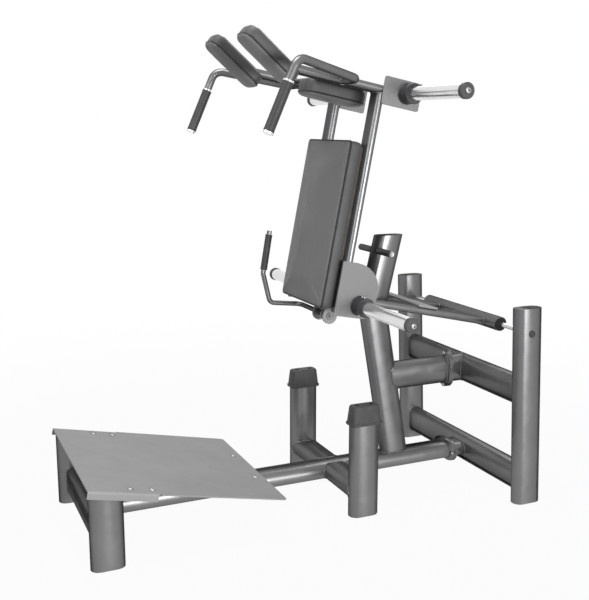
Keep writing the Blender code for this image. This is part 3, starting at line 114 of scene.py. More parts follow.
def seenRay(tree):
    # 1 for the kinds of ray that show the white background, 0 for the rest
    path = addNode(tree, "ShaderNodeLightPath")
    total = path.outputs["Is Camera Ray"]
    for kind in ("Is Glossy Ray", "Is Transmission Ray"):
        step = addNode(tree, "ShaderNodeMath", operation="MAXIMUM")
        tree.links.new(total, step.inputs[0])
        tree.links.new(path.outputs[kind], step.inputs[1])
        total = step.outputs[0]
    return total


def mixSurface(tree, share, matt, shown, out):
    mix = addNode(tree, "ShaderNodeMixShader")
    for socket, source in zip(mix.inputs, (share, matt.outputs[0], shown.outputs[0])):
        tree.links.new(source, socket)
    tree.links.new(mix.outputs[0], addNode(tree, out).inputs["Surface"])


def buildWorld():
    # white wherever the background shows, and a low even fill on matt surfaces
    world = bpy.data.worlds.new("studioWorld")
    scene.world = world
    world.use_nodes = True
    tree = world.node_tree
    tree.nodes.clear()
    fill, shown = (addNode(tree, "ShaderNodeBackground", Color=studio["white"], Strength=studio[key])
                   for key in ("worldFill", "worldShown"))
    mixSurface(tree, seenRay(tree), fill, shown, "ShaderNodeOutputWorld")


def buildFloor():
    mesh = bpy.data.meshes.new("studioFloor")
    disc = bmesh.new()
    bmesh.ops.create_circle(disc, cap_ends=True, segments=studio["floorSides"], radius=studio["floorRadius"])
    disc.to_mesh(mesh)
    disc.free()
    floor = addToScene("studioFloor", mesh)
    material = bpy.data.materials.new("studioFloor")
    material.use_nodes = True
    tree = material.node_tree
    link = tree.links.new
    tree.nodes.clear()
    matt = addNode(tree, "ShaderNodeBsdfDiffuse", Color=(*studio["floorColour"], 1))
    glow = addNode(tree, "ShaderNodeEmission", Color=studio["white"], Strength=1.0)
    length = addNode(tree, "ShaderNodeVectorMath", operation="LENGTH")
    link(addNode(tree, "ShaderNodeTexCoord").outputs["Object"], length.inputs[0])
    fade = addNode(tree, "ShaderNodeMapRange", interpolation_type="SMOOTHSTEP")
    for index, value in enumerate((*studio["floorFade"], studio["floorGlow"], 1.0)):
        fade.inputs[index + 1].default_value = value
    link(length.outputs["Value"], fade.inputs[0])
    share = addNode(tree, "ShaderNodeMath", operation="MULTIPLY")
    link(seenRay(tree), share.inputs[0])
    link(fade.outputs[0], share.inputs[1])
    mixSurface(tree, share.outputs[0], matt, glow, "ShaderNodeOutputMaterial")
    mesh.materials.append(material)


buildCamera()
buildLamps()
buildWorld()
buildFloor()
scene.view_settings.view_transform = "Standard"
print("studio ready")


# places on the machine as the CAD has them, metres and degrees
layout = {
    "pivot": (0.0, 0.79458043, 0.690),
    "tilt": 11.0,
    "uprightReach": 0.696,        # corner of upright and shoulder tube, from the pivot
    "cornerRise": 0.787,
    "uprightX": 0.172,
    "uprightBack": 0.0075,        # middle of the uprights behind the corner
    "uprightWide": 0.070,
    "uprightThick": 0.030,
    "shoulderRise": 0.005,
    "armX": 0.162,
    "armWide": 0.060,
    "armThick": 0.030,
    "armFront": 0.0135,           # arm middle over the pivot's level at the uprights
    "armRear": -0.0075,
    "pivotRadius": 0.029,
    "columnX": 0.430,
    "columnY": 0.8235,
    "columnLean": 2.4,
    "legX": 0.309,
    "legY": -0.81493249,
    "stopX": 0.278,
    "stopY": 0.1755,
    "baseHeight": 0.092,
    "upperHeight": 0.450,
    "tubeWide": 0.120,
    "tubeThick": 0.060,
    "postForward": 0.356,         # foot of the post in front of the columns
    "postLean": 10.07,
    "postTopLine": (0.1752, 0.2386),    # over the bend: place at the floor, slope over height
    "gap": 0.0003,
}
mirrored = (("left", 1), ("right", -1))
carriage = Matrix.Translation(layout["pivot"]) @ Matrix.Rotation(math.radians(-layout["tilt"]), 4, "X")
carriageTurn = carriage.to_3x3()
base, upper = layout["baseHeight"], layout["upperHeight"]
halfWide, halfThick = layout["tubeWide"] / 2, layout["tubeThick"] / 2
spineTop = base + halfThick
columnSlope = math.tan(math.radians(layout["columnLean"]))
postLean = math.radians(layout["postLean"])
postFoot = layout["columnY"] - layout["postForward"]


def columnMiddle(height):
    return layout["columnY"] - columnSlope * height


# materials: colours are linear, scales are repeats per metre
finishes = {
    "frameSteel": {"colour": (0.18, 0.18, 0.183), "metal": 0.72, "rough": 0.35, "specular": 0.0, "edge": 0.02,
                   "fleck": 0.12, "fleckScale": 900, "peel": 0.02, "peelScale": 420, "cloud": 0.07},
    "plateSteel": {"colour": (0.29, 0.29, 0.293), "metal": 0.05, "rough": 0.55, "specular": 0.1, "edge": 0.4,
                   "fleck": 0.08, "fleckScale": 700, "peel": 0.06, "peelScale": 300, "cloud": 0.04},
    "darkSteel": {"colour": (0.06, 0.06, 0.063), "metal": 0.3, "rough": 0.4, "specular": 0.2, "edge": 0.3,
                  "fleck": 0.1, "fleckScale": 900, "peel": 0.05, "peelScale": 420, "cloud": 0.08},
    "zincSteel": {"colour": (0.3, 0.3, 0.31), "metal": 0.9, "rough": 0.4, "specular": 0.4, "edge": 0.5,
                  "fleck": 0.15, "fleckScale": 500, "peel": 0.03, "peelScale": 600, "cloud": 0.1},
    "handleSteel": {"colour": (0.17, 0.17, 0.173), "metal": 0.7, "rough": 0.3, "specular": 0.0, "edge": 0.02,
                    "fleck": 0.08, "fleckScale": 900, "peel": 0.03, "peelScale": 420, "cloud": 0.05},
    "hornChrome": {"colour": (0.74, 0.74, 0.75), "rough": 0.2, "scuff": 0.03, "scuffScale": 260},
    "bumperRubber": {"colour": (0.04, 0.04, 0.042), "rough": 0.62, "grain": 0.12, "grainScale": 700},
    "gripRubber": {"colour": (0.03, 0.03, 0.031), "rough": 0.5, "grain": 0.2, "grainScale": 1100},
    "capPlastic": {"colour": (0.05, 0.05, 0.052), "rough": 0.42, "grain": 0.08, "grainScale": 900},
    "padVinyl": {"colour": (0.155, 0.155, 0.157), "rough": 0.5, "grain": 0.3, "grainScale": 620},
    "padThread": {"colour": (0.03, 0.03, 0.031), "rough": 0.8, "grain": 0.3, "grainScale": 1800},
    # the welt's near black is partly the piping's own colour and partly painted shadow along the seam
    "padWeltAndSeamShadow": {"colour": (0.012, 0.012, 0.013), "rough": 0.6, "grain": 0.2, "grainScale": 900},
    "boardPly": {"colour": (0.05, 0.046, 0.042), "rough": 0.7},
}
# painted shade: the side, horn and neck pad plates take the plate steel made darker, as shade on these
# sideways faces
finishes["sideSteelPaintedShade"] = {**finishes["plateSteel"], "colour": (0.24, 0.24, 0.243)}
# painted shade: the cushions' side panels take the face vinyl made darker
finishes["padSidePaintedShade"] = {**finishes["padVinyl"], "colour": (0.068, 0.068, 0.07)}
tubeFullness = 10.0    # lean of the normal per metre from the tube's middle line


class Shader:
    # one Principled material with helpers that add and join nodes

    def __init__(self, name):
        self.material = bpy.data.materials.new(name)
        self.material.use_nodes = True
        self.tree = self.material.node_tree
        self.main = self.tree.nodes["Principled BSDF"]
        self.place = self.add("ShaderNodeTexCoord").outputs["Object"]

    def add(self, kind, **values):
        return addNode(self.tree, kind, **values)

    def join(self, start, end):
        self.tree.links.new(start, end)

    def feed(self, socket, value):
        # another node's socket is joined on, a number or a colour is set
        if isinstance(value, bpy.types.NodeSocket):
            self.join(value, socket)
        else:
            socket.default_value = value

    def give(self, name, value):
        self.feed(self.main.inputs[name], value)

    def noise(self, scale, detail=2.0, stretch=None):
        node = self.add("ShaderNodeTexNoise", Scale=scale, Detail=detail)
        place = self.place
        if stretch:
            mapping = self.add("ShaderNodeMapping")
            mapping.inputs["Scale"].default_value = stretch
            self.join(place, mapping.inputs["Vector"])
            place = mapping.outputs[0]
        self.join(place, node.inputs["Vector"])
        return node.outputs[0]

    def cells(self, scale):
        node = self.add("ShaderNodeTexVoronoi", Scale=scale)
        self.join(self.place, node.inputs["Vector"])
        return node.outputs["Distance"]

    def remap(self, source, low, high, fromLow=0.3, fromHigh=0.7):
        node = self.add("ShaderNodeMapRange")
        for index, value in enumerate((fromLow, fromHigh, low, high)):
            node.inputs[index + 1].default_value = value
        self.join(source, node.inputs[0])
        return node.outputs[0]

    def calculate(self, operation, *values, kind="ShaderNodeMath"):
        node = self.add(kind, operation=operation)
        for socket, value in zip(node.inputs, values):
            self.feed(socket, value)
        return node.outputs[0]

    def spread(self, scale, detail, low, high, around=0.0):
        # soft patches between a low and a high value
        return self.remap(self.noise(scale, detail), around + low, around + high)

    def scaled(self, vector, factor):
        node = self.add("ShaderNodeVectorMath", operation="SCALE")
        node.inputs[0].default_value = vector
        self.join(factor, node.inputs["Scale"])
        return node.outputs[0]

    def tint(self, colour, factor):
        # the colour, made lighter or darker by a factor around 1
        self.give("Base Color", self.scaled(colour, factor))

    def bump(self, height, strength, distance):
        node = self.add("ShaderNodeBump", Strength=strength, Distance=distance)
        self.join(height, node.inputs["Height"])
        previous = self.main.inputs["Normal"]
        if previous.links:
            self.join(previous.links[0].from_socket, node.inputs["Normal"])
        self.join(node.outputs[0], previous)


# what the finishes of one kind share: a noise's scale and detail, then the least and most that it gives
powderCoat = {"fleckDetail": 1.0, "cloud": (6.0, 3.0), "wear": (22.0, 4.0, -0.05, 0.06), "peelDepth": 0.0006}
polish = {"haze": (14.0, 3.0, 0.94, 1.04), "smear": (9.0, 3.0, -0.03, 0.05),
          "scuff": (3.0, (3.0, 0.25, 0.25)), "scuffBump": (0.015, 0.0002)}
rubber = {"specular": 0.35, "cloud": (18.0, 4.0, 0.86, 1.16), "wear": (60.0, 3.0, -0.08, 0.08),
          "grainDepth": 0.0008}
vinyl = {"specular": 0.34, "sheen": 0.06, "cloud": (7.0, 4.0, 0.93, 1.08), "creaseShade": (1.05, 0.86, 0.1, 0.7),
         "wear": (11.0, 3.0, -0.06, 0.05), "pebbleRough": (0.0, 0.08, 0.0, 0.7), "ripple": (90.0, 3.0),
         "rippleBump": (0.1, 0.001), "pebbleDepth": 0.0007}
ply = {"grain": (30.0, 5.0, (12.0, 12.0, 0.8)), "shade": (0.6, 1.35), "wear": 0.1, "grainBump": (0.2, 0.0008)}


def paintedSteel(shader, finish, across=None, lines=()):
    # powder coat with fine flecks, soft clouds and a little orange peel
    if across is not None:
        fullSides(shader, across, lines)
    shader.give("Metallic", finish["metal"])
    shader.give("Specular IOR Level", finish["specular"])
    shader.give("Specular Tint", (finish["edge"],) * 3 + (1,))
    flecks, clouds = finish["fleck"], finish["cloud"]
    fleck = shader.spread(finish["fleckScale"], powderCoat["fleckDetail"], -flecks, flecks, 1.0)
    cloud = shader.spread(*powderCoat["cloud"], -clouds, clouds, 1.0)
    shader.tint(finish["colour"], shader.calculate("MULTIPLY", fleck, cloud))
    shader.give("Roughness", shader.spread(*powderCoat["wear"], finish["rough"]))
    shader.bump(shader.noise(finish["peelScale"]), finish["peel"], powderCoat["peelDepth"])


def fullSides(shader, across, lines):
    # rolled tube is a little full on its wide sides: the normal leans outward from the tube's middle line,
    # which is given as (place, slope over height) lines along the axis across
    shape = shader.add("ShaderNodeNewGeometry")
    parts = shader.add("ShaderNodeSeparateXYZ")
    shader.join(shape.outputs["Position"], parts.inputs[0])
    middles = [shader.calculate("MULTIPLY_ADD", parts.outputs[2], slope, place) for place, slope in lines]
    middle = shader.calculate("MAXIMUM", *middles) if len(middles) > 1 else middles[0]
    away = shader.calculate("SUBTRACT", parts.outputs[across], middle)
    lean = shader.scaled([tubeFullness if index == across else 0.0 for index in range(3)], away)
    total = shader.calculate("ADD", shape.outputs["Normal"], lean, kind="ShaderNodeVectorMath")
    shader.give("Normal", shader.calculate("NORMALIZE", total, kind="ShaderNodeVectorMath"))


def polishedSteel(shader, finish):
    # bright metal with fine scuffs across the bar and a little haze
    shader.give("Metallic", 1.0)
    shader.tint(finish["colour"], shader.spread(*polish["haze"]))
    scuff = shader.noise(finish["scuffScale"], *polish["scuff"])
    smear = shader.spread(*polish["smear"], finish["rough"])
    shader.give("Roughness", shader.calculate("ADD", shader.remap(scuff, 0.0, finish["scuff"]), smear))
    shader.bump(scuff, *polish["scuffBump"])


def mouldedRubber(shader, finish):
    # matt rubber or plastic with a fine moulded grain
    shader.give("Specular IOR Level", rubber["specular"])
    shader.tint(finish["colour"], shader.spread(*rubber["cloud"]))
    shader.give("Roughness", shader.spread(*rubber["wear"], finish["rough"]))
    shader.bump(shader.noise(finish["grainScale"]), finish["grain"], rubber["grainDepth"])


def grainedVinyl(shader, finish):
    # upholstery vinyl: small pebbles with fine creases between them, the creases painted darker as shade, and
    # faint handling marks
    shader.give("Specular IOR Level", vinyl["specular"])
    shader.give("Sheen Weight", vinyl["sheen"])
    pebbles = shader.cells(finish["grainScale"])
    # painted shade: the colour darkens towards the pebbles' borders, in the creases
    cloud, creaseShade = shader.spread(*vinyl["cloud"]), shader.remap(pebbles, *vinyl["creaseShade"])
    shader.tint(finish["colour"], shader.calculate("MULTIPLY", cloud, creaseShade))
    wear = shader.spread(*vinyl["wear"], finish["rough"])
    shader.give("Roughness", shader.calculate("ADD", wear, shader.remap(pebbles, *vinyl["pebbleRough"])))
    shader.bump(shader.noise(*vinyl["ripple"]), *vinyl["rippleBump"])
    shader.bump(pebbles, -finish["grain"], vinyl["pebbleDepth"])


def stainedPly(shader, finish):
    # dark stained board with its grain along the height
    grain = shader.noise(*ply["grain"])
    shader.tint(finish["colour"], shader.remap(grain, *ply["shade"]))
    rough, wear = finish["rough"], ply["wear"]
    shader.give("Roughness", shader.remap(grain, rough + wear, rough - wear))
    shader.bump(grain, *ply["grainBump"])


# frame tubes by the axis of their wide way and their middle line: (place at the floor, slope over height)
tubes = {
    "column": (1, ((layout["columnY"], -columnSlope),)),
    "post": (1, ((postFoot + math.tan(postLean) * spineTop, -math.tan(postLean)), layout["postTopLine"])),
    "leg": (1, ((layout["legY"], 0.0),)),
    "stop": (1, ((layout["stopY"], 0.0),)),
    "lowBar": (2, ((base, 0.0),)),
    "highBar": (2, ((upper, 0.0),)),
    "spine": (0, ((0.0, 0.0),)),
}


def mixPaint(name, make, finish, *tube):
    shader = Shader(name)
    make(shader, finish, *tube)
    return shader.material


makers = {
    paintedSteel: ("frameSteel", "plateSteel", "sideSteelPaintedShade", "darkSteel", "zincSteel", "handleSteel"),
    polishedSteel: ("hornChrome",),
    mouldedRubber: ("bumperRubber", "gripRubber", "capPlastic", "padThread"),
    grainedVinyl: ("padVinyl", "padSidePaintedShade", "padWeltAndSeamShadow"),
    stainedPly: ("boardPly",),
}
paints = {name: mixPaint(name, make, finishes[name]) for make, names in makers.items() for name in names}
for tube, shape in tubes.items():
    paints[tube + "Steel"] = mixPaint(tube + "Steel", paintedSteel, finishes["frameSteel"], *shape)
print("materials ready:", len(paints))


# how worked edges are made: metres and degrees between faces
edgeWork = {
    "mergeReach": 0.00002,
    "segments": 2,
    "roundOver": 42,
    "sharpOver": 38,
    "weight": 70,
    "cadShading": ("custom_normal", "sharp_edge", "sharp_face"),
}


def facetTools(name, steps):
    # a small node group whose steps run in order on the geometry
    group = bpy.data.node_groups.new(name, "GeometryNodeTree")
    group.interface.new_socket("Geometry", in_out="INPUT", socket_type="NodeSocketGeometry")
    group.interface.new_socket("Geometry", in_out="OUTPUT", socket_type="NodeSocketGeometry")
    last = group.nodes.new("NodeGroupInput").outputs[0]
    for step in steps:
        last = step(group, last)
    group.links.new(last, group.nodes.new("NodeGroupOutput").inputs[0])
    return group


def nodeStep(kind, **values):
    # one node that takes the geometry and hands it on
    def step(group, last):
        node = addNode(group, kind, **values)
        group.links.new(last, node.inputs["Geometry"])
        return node.outputs[0]
    return step


def sharpStep(group, last):
    # edges over the angle stay sharp
    edge = addNode(group, "GeometryNodeInputMeshEdgeAngle")
    over = addNode(group, "FunctionNodeCompare", data_type="FLOAT", operation="GREATER_THAN")
    over.inputs[1].default_value = math.radians(edgeWork["sharpOver"])
    group.links.new(edge.outputs["Unsigned Angle"], over.inputs[0])
    sharp = addNode(group, "GeometryNodeSetShadeSmooth", domain="EDGE")
    sharp.inputs["Shade Smooth"].default_value = False
    group.links.new(over.outputs[0], sharp.inputs["Selection"])
    group.links.new(last, sharp.inputs["Geometry"])
    return sharp.outputs[0]


joinFacets = facetTools("joinFacets", (
    nodeStep("GeometryNodeMergeByDistance", Distance=edgeWork["mergeReach"]),
    *(nodeStep("GeometryNodeRemoveAttribute", Name=kind) for kind in edgeWork["cadShading"])))
shadeFacets = facetTools("shadeFacets", (nodeStep("GeometryNodeSetShadeSmooth", domain="FACE"), sharpStep))


def softenEdges(piece, width=0.0, fromCad=False):
    # facets joined where they come from the CAD, sharp edges rounded, then shaded by angle
    if fromCad:
        piece.modifiers.new("joinFacets", "NODES").node_group = joinFacets
    if width > 0:
        bevel = piece.modifiers.new("edgeRound", "BEVEL")
        bevel.width = width
        bevel.segments = edgeWork["segments"]
        bevel.limit_method = "ANGLE"
        bevel.angle_limit = math.radians(edgeWork["roundOver"])
        bevel.use_clamp_overlap = True
    piece.modifiers.new("shadeFacets", "NODES").node_group = shadeFacets
    weighted = piece.modifiers.new("weightedNormals", "WEIGHTED_NORMAL")
    weighted.keep_sharp = True
    weighted.weight = edgeWork["weight"]


def bothSides(*names):
    return tuple(name + side for name in names for side in ("_left", "_right"))


# finish and edge round of each CAD node that shows; finer pieces below stand for the cushions and grips
nodeFinish = {
    "frameSteel": (0.0012, ("pivot_tube", "cross_tube", *bothSides("arm", "upright", "shoulder_tube"))),
    "columnSteel": (0.0012, bothSides("column")),
    "postSteel": (0.0012, ("post",)),
    "legSteel": (0.0012, bothSides("leg")),
    "stopSteel": (0.0012, bothSides("stop_post", "stop_arm")),
    "lowBarSteel": (0.0012, ("lower_crossbar", "front_crossbar")),
    "highBarSteel": (0.0012, ("upper_crossbar", "brace_tube")),
    "spineSteel": (0.0012, ("spine_tube",)),
    "plateSteel": (0.0010, ("platform_plate", "platform_bracket", "arm_tie", "catch_pawl", "catch_ledge",
                            *bothSides("platform_rail"))),
    # the sideways plates take the darker copy of the plate steel, which is painted shade
    "sideSteelPaintedShade": (0.0010, ("neck_pad_plate", *bothSides("side_plate", "horn_plate"))),
    "darkSteel": (0.0008, bothSides("shaft_bolt", "pivot_bearing")),
    "hornChrome": (0.0010, ("pivot_shaft", *bothSides("lower_horn", "upper_horn"))),
    "handleSteel": (0.0, ("release_lever", *bothSides("handle"))),
    "capPlastic": (0.0015, bothSides("lower_horn_cap", "upper_horn_cap")),
    "bumperRubber": (0.0025, bothSides("bumper")),
    "boardPly": (0.0015, ("back_board",)),
}

for finishName, (edge, names) in nodeFinish.items():
    for name in names:
        for materialSlot in nodes[name].material_slots:
            materialSlot.material = paints[finishName]
        softenEdges(nodes[name], edge, fromCad=True)
print("CAD nodes dressed")


def fromCorner(x, back, up):
    # world place of a point given from the corner of upright and shoulder tube
    return carriage @ Vector((x, back - layout["uprightReach"], up + layout["cornerRise"]))


def facing(across, along, outward, middle):
    turn = Matrix((across, along, outward)).transposed().to_4x4()
    return Matrix.Translation(middle) @ turn


def roundedOutline(wide, tall, radius, steps):
    points = []
    for corner, (signU, signV) in enumerate(((1, 1), (-1, 1), (-1, -1), (1, -1))):
        for step in range(steps + 1):
            angle = math.pi / 2 * (corner + step / steps)
            points.append((signU * (wide / 2 - radius) + radius * math.cos(angle),
                           signV * (tall / 2 - radius) + radius * math.sin(angle)))
    return points


def circle(radius, sides):
    turns = [2 * math.pi * step / sides for step in range(sides)]
    return [(radius * math.cos(turn), radius * math.sin(turn)) for turn in turns]


def evenPath(corners, spacing):
    # points at an even distance along a closed line of (u, v) corners
    count = len(corners)
    runs = [math.dist(corners[index], corners[(index + 1) % count]) for index in range(count)]
    steps = max(12, round(sum(runs) / spacing))
    points = []
    for step in range(steps):
        goal = sum(runs) * step / steps
        index = 0
        while goal > runs[index]:
            goal -= runs[index]
            index += 1
        share = goal / runs[index] if runs[index] else 0.0
        first, last = corners[index], corners[(index + 1) % count]
        points.append((first[0] + (last[0] - first[0]) * share, first[1] + (last[1] - first[1]) * share))
    return points


def addPiece(name, bodyMesh, finish, body):
    mesh = bpy.data.meshes.new(name)
    bmesh.ops.recalc_face_normals(bodyMesh, faces=bodyMesh.faces)
    bodyMesh.to_mesh(mesh)
    bodyMesh.free()
    mesh.materials.append(paints[finish])
    mesh.shade_smooth()
    piece = addToScene(name, mesh)
    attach(piece, body)
    return piece


def addRings(target, rings, closed=False):
    loops = [[target.verts.new(point) for point in ring] for ring in rings]
    pairs = list(zip(loops[:-1], loops[1:]))
    if closed:
        pairs.append((loops[-1], loops[0]))
    else:
        target.faces.new(loops[0])
        target.faces.new(loops[-1])
    for first, second in pairs:
        for index in range(len(first)):
            after = (index + 1) % len(first)
            target.faces.new((first[index], first[after], second[after], second[index]))


def addCord(target, points, radius, sides, closed=True):
    # a round cord along a path of points
    rings = []
    count = len(points)
    across = None
    for index, point in enumerate(points):
        before = points[index - 1] if closed or index else point
        after = points[(index + 1) % count] if closed or index < count - 1 else point
        along = (after - before).normalized()
        if across is None:
            across = along.orthogonal().normalized()
        across = (across - along * across.dot(along)).normalized()
        other = along.cross(across)
        rings.append([point + across * u + other * v for u, v in circle(radius, sides)])
    if closed:
        # the turn that is left over after one round is shared out by matching the nearest corner
        first, last = rings[0], rings[-1]
        shift = min(range(sides), key=lambda s: (last[s] - first[0]).length)
        loops = [[target.verts.new(point) for point in ring] for ring in rings]
        for ringIndex in range(count):
            here = loops[ringIndex]
            there = loops[(ringIndex + 1) % count]
            offset = shift if ringIndex == count - 1 else 0
            for index in range(sides):
                after = (index + 1) % sides
                target.faces.new((here[(index + offset) % sides], here[(after + offset) % sides],
                                  there[after], there[index]))
    else:
        addRings(target, rings)


def lineAxes(along):
    # a line's direction and two directions square to it
    along = Vector(along).normalized()
    across = along.orthogonal().normalized()
    return along, across, along.cross(across)


def turnedRings(profile, start, along, sides):
    # a profile of (distance, radius) turned about a line
    along, across, other = lineAxes(along)
    return [[Vector(start) + along * distance + across * u + other * v for u, v in circle(radius, sides)]
            for distance, radius in profile]


def addWorked(name, bodyMesh, finish, body):
    # a piece whose edges are shaded by their angle
    piece = addPiece(name, bodyMesh, finish, body)
    softenEdges(piece)
    return piece


def addTurned(name, profile, start, along, sides, finish, body, hollow=True):
    # a turned piece; the profile of a hollow one closes on itself through the bore
    turned = bmesh.new()
    addRings(turned, turnedRings(profile, start, along, sides), hollow)
    return addWorked(name, turned, finish, body)


# cushions, metres; the CAD solid of each gives the space it fills
cushions = {
    "back": {"wide": 0.370, "long": 0.630, "depth": 0.0465, "crown": 0.018, "corner": 0.015,
             "seam": 0.0465, "puff": 0.010, "fill": 0.85},
    "shoulder": {"wide": 0.118, "long": 0.245, "depth": 0.048, "crown": 0.012, "corner": 0.036,
                 "seam": 0.039, "puff": 0.007, "fill": 0.85},
    "neck": {"wide": 0.120, "long": 0.255, "depth": 0.054, "crown": 0.012, "corner": 0.036,
             "seam": 0.047, "puff": 0.007, "fill": 0.85},
}
cushionMake = {
    # how far in each layer lies, and its share of the height of side, rim or crown
    "side": ((0.0015, 0.25), (0.0005, 0.55), (0.0015, 0.85)),
    "rim": ((0.0015, 0.40), (0.0015, 0.75)),
    "face": ((0.007, 0.30), (0.014, 0.52), (0.026, 0.72), (0.042, 0.82)),
    "blankCorner": (0.006, 8),    # least radius, steps
    "seamCorner": (0.004, 10),
    "voxel": 0.005,
    "frames": 20,
    "relaxFirst": (2, 0.5),       # rounds and strength, before the foam swells
    "relaxLast": (1, 0.4),
    "seamDraw": 0.004,            # how far the seams pull in
    "seamHold": 0.0045,           # reach of the seam's hold on the foam
    "backHold": 0.002,
    "weltRadius": 0.0037,
    "weltSpacing": 0.006,
    "weltSides": 8,
    "stitchLength": 0.0042,
    "stitchPitch": 0.0065,
    "stitchInset": 0.0055,
    "stitchRadius": 0.00045,
    "stitchSides": 6,
}
foam = {
    "quality": 4,
    "mass": 0.35,
    "tension_stiffness": 12,
    "compression_stiffness": 12,
    "shear_stiffness": 6,
    "bending_stiffness": 0.6,
    "use_pressure": True,
    "uniform_pressure_force": 4.0,
}


def insetOutline(spec, inset, leastCorner, steps):
    corner = max(spec["corner"] - inset, leastCorner)
    return roundedOutline(spec["wide"] - 2 * inset, spec["long"] - 2 * inset, corner, steps)


def cushionBlank(spec, place):
    # closed starting shape in its own frame: back face at height 0, side, seam, then the face
    draw = cushionMake["seamDraw"]
    depth, crown, seam = spec["depth"], spec["crown"], spec["seam"]
    rise = depth - seam
    layers = [(draw, 0.0)] + [(inset, seam * share) for inset, share in cushionMake["side"]] + [(draw, seam)]
    if rise > 0:
        layers += [(inset, seam + rise * share) for inset, share in cushionMake["rim"]] + [(draw, depth)]
    layers += [(inset, depth + crown * share) for inset, share in cushionMake["face"]]
    blank = bmesh.new()
    addRings(blank, [[place @ Vector((u, v, height))
                      for u, v in insetOutline(spec, inset, *cushionMake["blankCorner"])]
                     for inset, height in layers])
    return blank


def seamPath(spec, place, height, inset, spacing):
    # evenly spaced points along the cushion's outline
    outline = insetOutline(spec, inset, *cushionMake["seamCorner"])
    return [place @ Vector((u, v, height)) for u, v in evenPath(outline, spacing)]


def edgeDistance(u, v, spec):
    # how far inside the rounded outline a point lies
    halfU = spec["wide"] / 2 - spec["corner"]
    halfV = spec["long"] / 2 - spec["corner"]
    du = max(abs(u) - halfU, 0.0)
    dv = max(abs(v) - halfV, 0.0)
    if du > 0 and dv > 0:
        return spec["corner"] - math.hypot(du, dv)
    return min(spec["wide"] / 2 - abs(u), spec["long"] / 2 - abs(v))


def swellCushion(piece, spec, place):
    # cloth under pressure, held at its back and along its seams
    back = place.inverted()
    mesh = piece.data
    hold = piece.vertex_groups.new(name="hold")
    start = [vertex.co.copy() for vertex in mesh.vertices]
    for vertex in mesh.vertices:
        u, v, w = back @ vertex.co
        atBack = w < cushionMake["backHold"]
        atSeam = (abs(w - spec["seam"]) < cushionMake["seamHold"]
                  and edgeDistance(u, v, spec) < 3 * cushionMake["seamHold"])
        if atBack or atSeam:
            hold.add([vertex.index], 1.0, "REPLACE")
    cloth = piece.modifiers.new("foam", "CLOTH")
    for key, value in foam.items():
        setattr(cloth.settings, key, value)
    cloth.settings.vertex_group_mass = "hold"
    cloth.settings.effector_weights.gravity = 0.0
    cloth.point_cache.frame_start = 1
    cloth.point_cache.frame_end = cushionMake["frames"]
    for step in range(1, cushionMake["frames"] + 1):
        scene.frame_set(step)
    shown = piece.evaluated_get(bpy.context.evaluated_depsgraph_get())
    moved = [vertex.co.copy() for vertex in shown.data.vertices]
    piece.modifiers.remove(cloth)
    scene.frame_set(1)
    for vertex, first, last in zip(mesh.vertices, start, moved):
        step = last - first
        if step.length > spec["puff"]:
            step = step.normalized() * spec["puff"]
        vertex.co = first + step


def relaxMesh(mesh, rounds, strength):
    # evens out the steps that the remesh leaves
    work = bmesh.new()
    work.from_mesh(mesh)
    for _ in range(rounds):
        bmesh.ops.smooth_vert(work, verts=work.verts, factor=strength,
                              use_axis_x=True, use_axis_y=True, use_axis_z=True)
    work.to_mesh(mesh)
    work.free()


def buildCushion(name, node, spec, place):
    blank = cushionBlank(spec, place)
    piece = addPiece(name, blank, "padVinyl", "carriage")
    remesh = piece.modifiers.new("remesh", "REMESH")
    remesh.mode = "VOXEL"
    remesh.voxel_size = cushionMake["voxel"]
    shown = piece.evaluated_get(bpy.context.evaluated_depsgraph_get())
    fine = bpy.data.meshes.new_from_object(shown)
    piece.modifiers.clear()
    piece.data = fine
    relaxMesh(fine, *cushionMake["relaxFirst"])
    swellCushion(piece, spec, place)
    relaxMesh(fine, *cushionMake["relaxLast"])
    fine.shade_smooth()

    # the face vinyl on the face; below the seam the side panel takes a darker copy of it, which is painted
    # shade on the sides
    fine.materials.clear()
    for finish in ("padVinyl", "padSidePaintedShade"):
        fine.materials.append(paints[finish])
    back = place.inverted()
    for face in fine.polygons:
        face.material_index = 1 if (back @ face.center).z < spec["seam"] else 0
    piece.modifiers.new("finer", "SUBSURF").levels = 1
    piece.modifiers["finer"].render_levels = 1
    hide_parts(node)

    # the welt cord is real piping, made thick and near black so that it also stands as painted shadow along
    # the seam
    welts = bmesh.new()
    draw = cushionMake["seamDraw"]
    weltLine = seamPath(spec, place, spec["seam"], draw, cushionMake["weltSpacing"])
    addCord(welts, weltLine, cushionMake["weltRadius"], cushionMake["weltSides"])
    addPiece(name + "Welt", welts, "padWeltAndSeamShadow", "carriage")

    # stitches lie on the face, beside the welt
    stitches = bmesh.new()
    length, radius, sides = (cushionMake["stitch" + key] for key in ("Length", "Radius", "Sides"))
    height = spec["seam"] + cushionMake["stitchInset"]
    line = seamPath(spec, place, height, draw / 2, cushionMake["stitchPitch"])
    path = [piece.closest_point_on_mesh(point)[1] for point in line]
    for index, point in enumerate(path):
        ahead = (path[(index + 1) % len(path)] - point).normalized()
        addCord(stitches, [point, point + ahead * length * 0.5, point + ahead * length], radius, sides, False)
    addPiece(name + "Stitches", stitches, "padThread", "carriage")


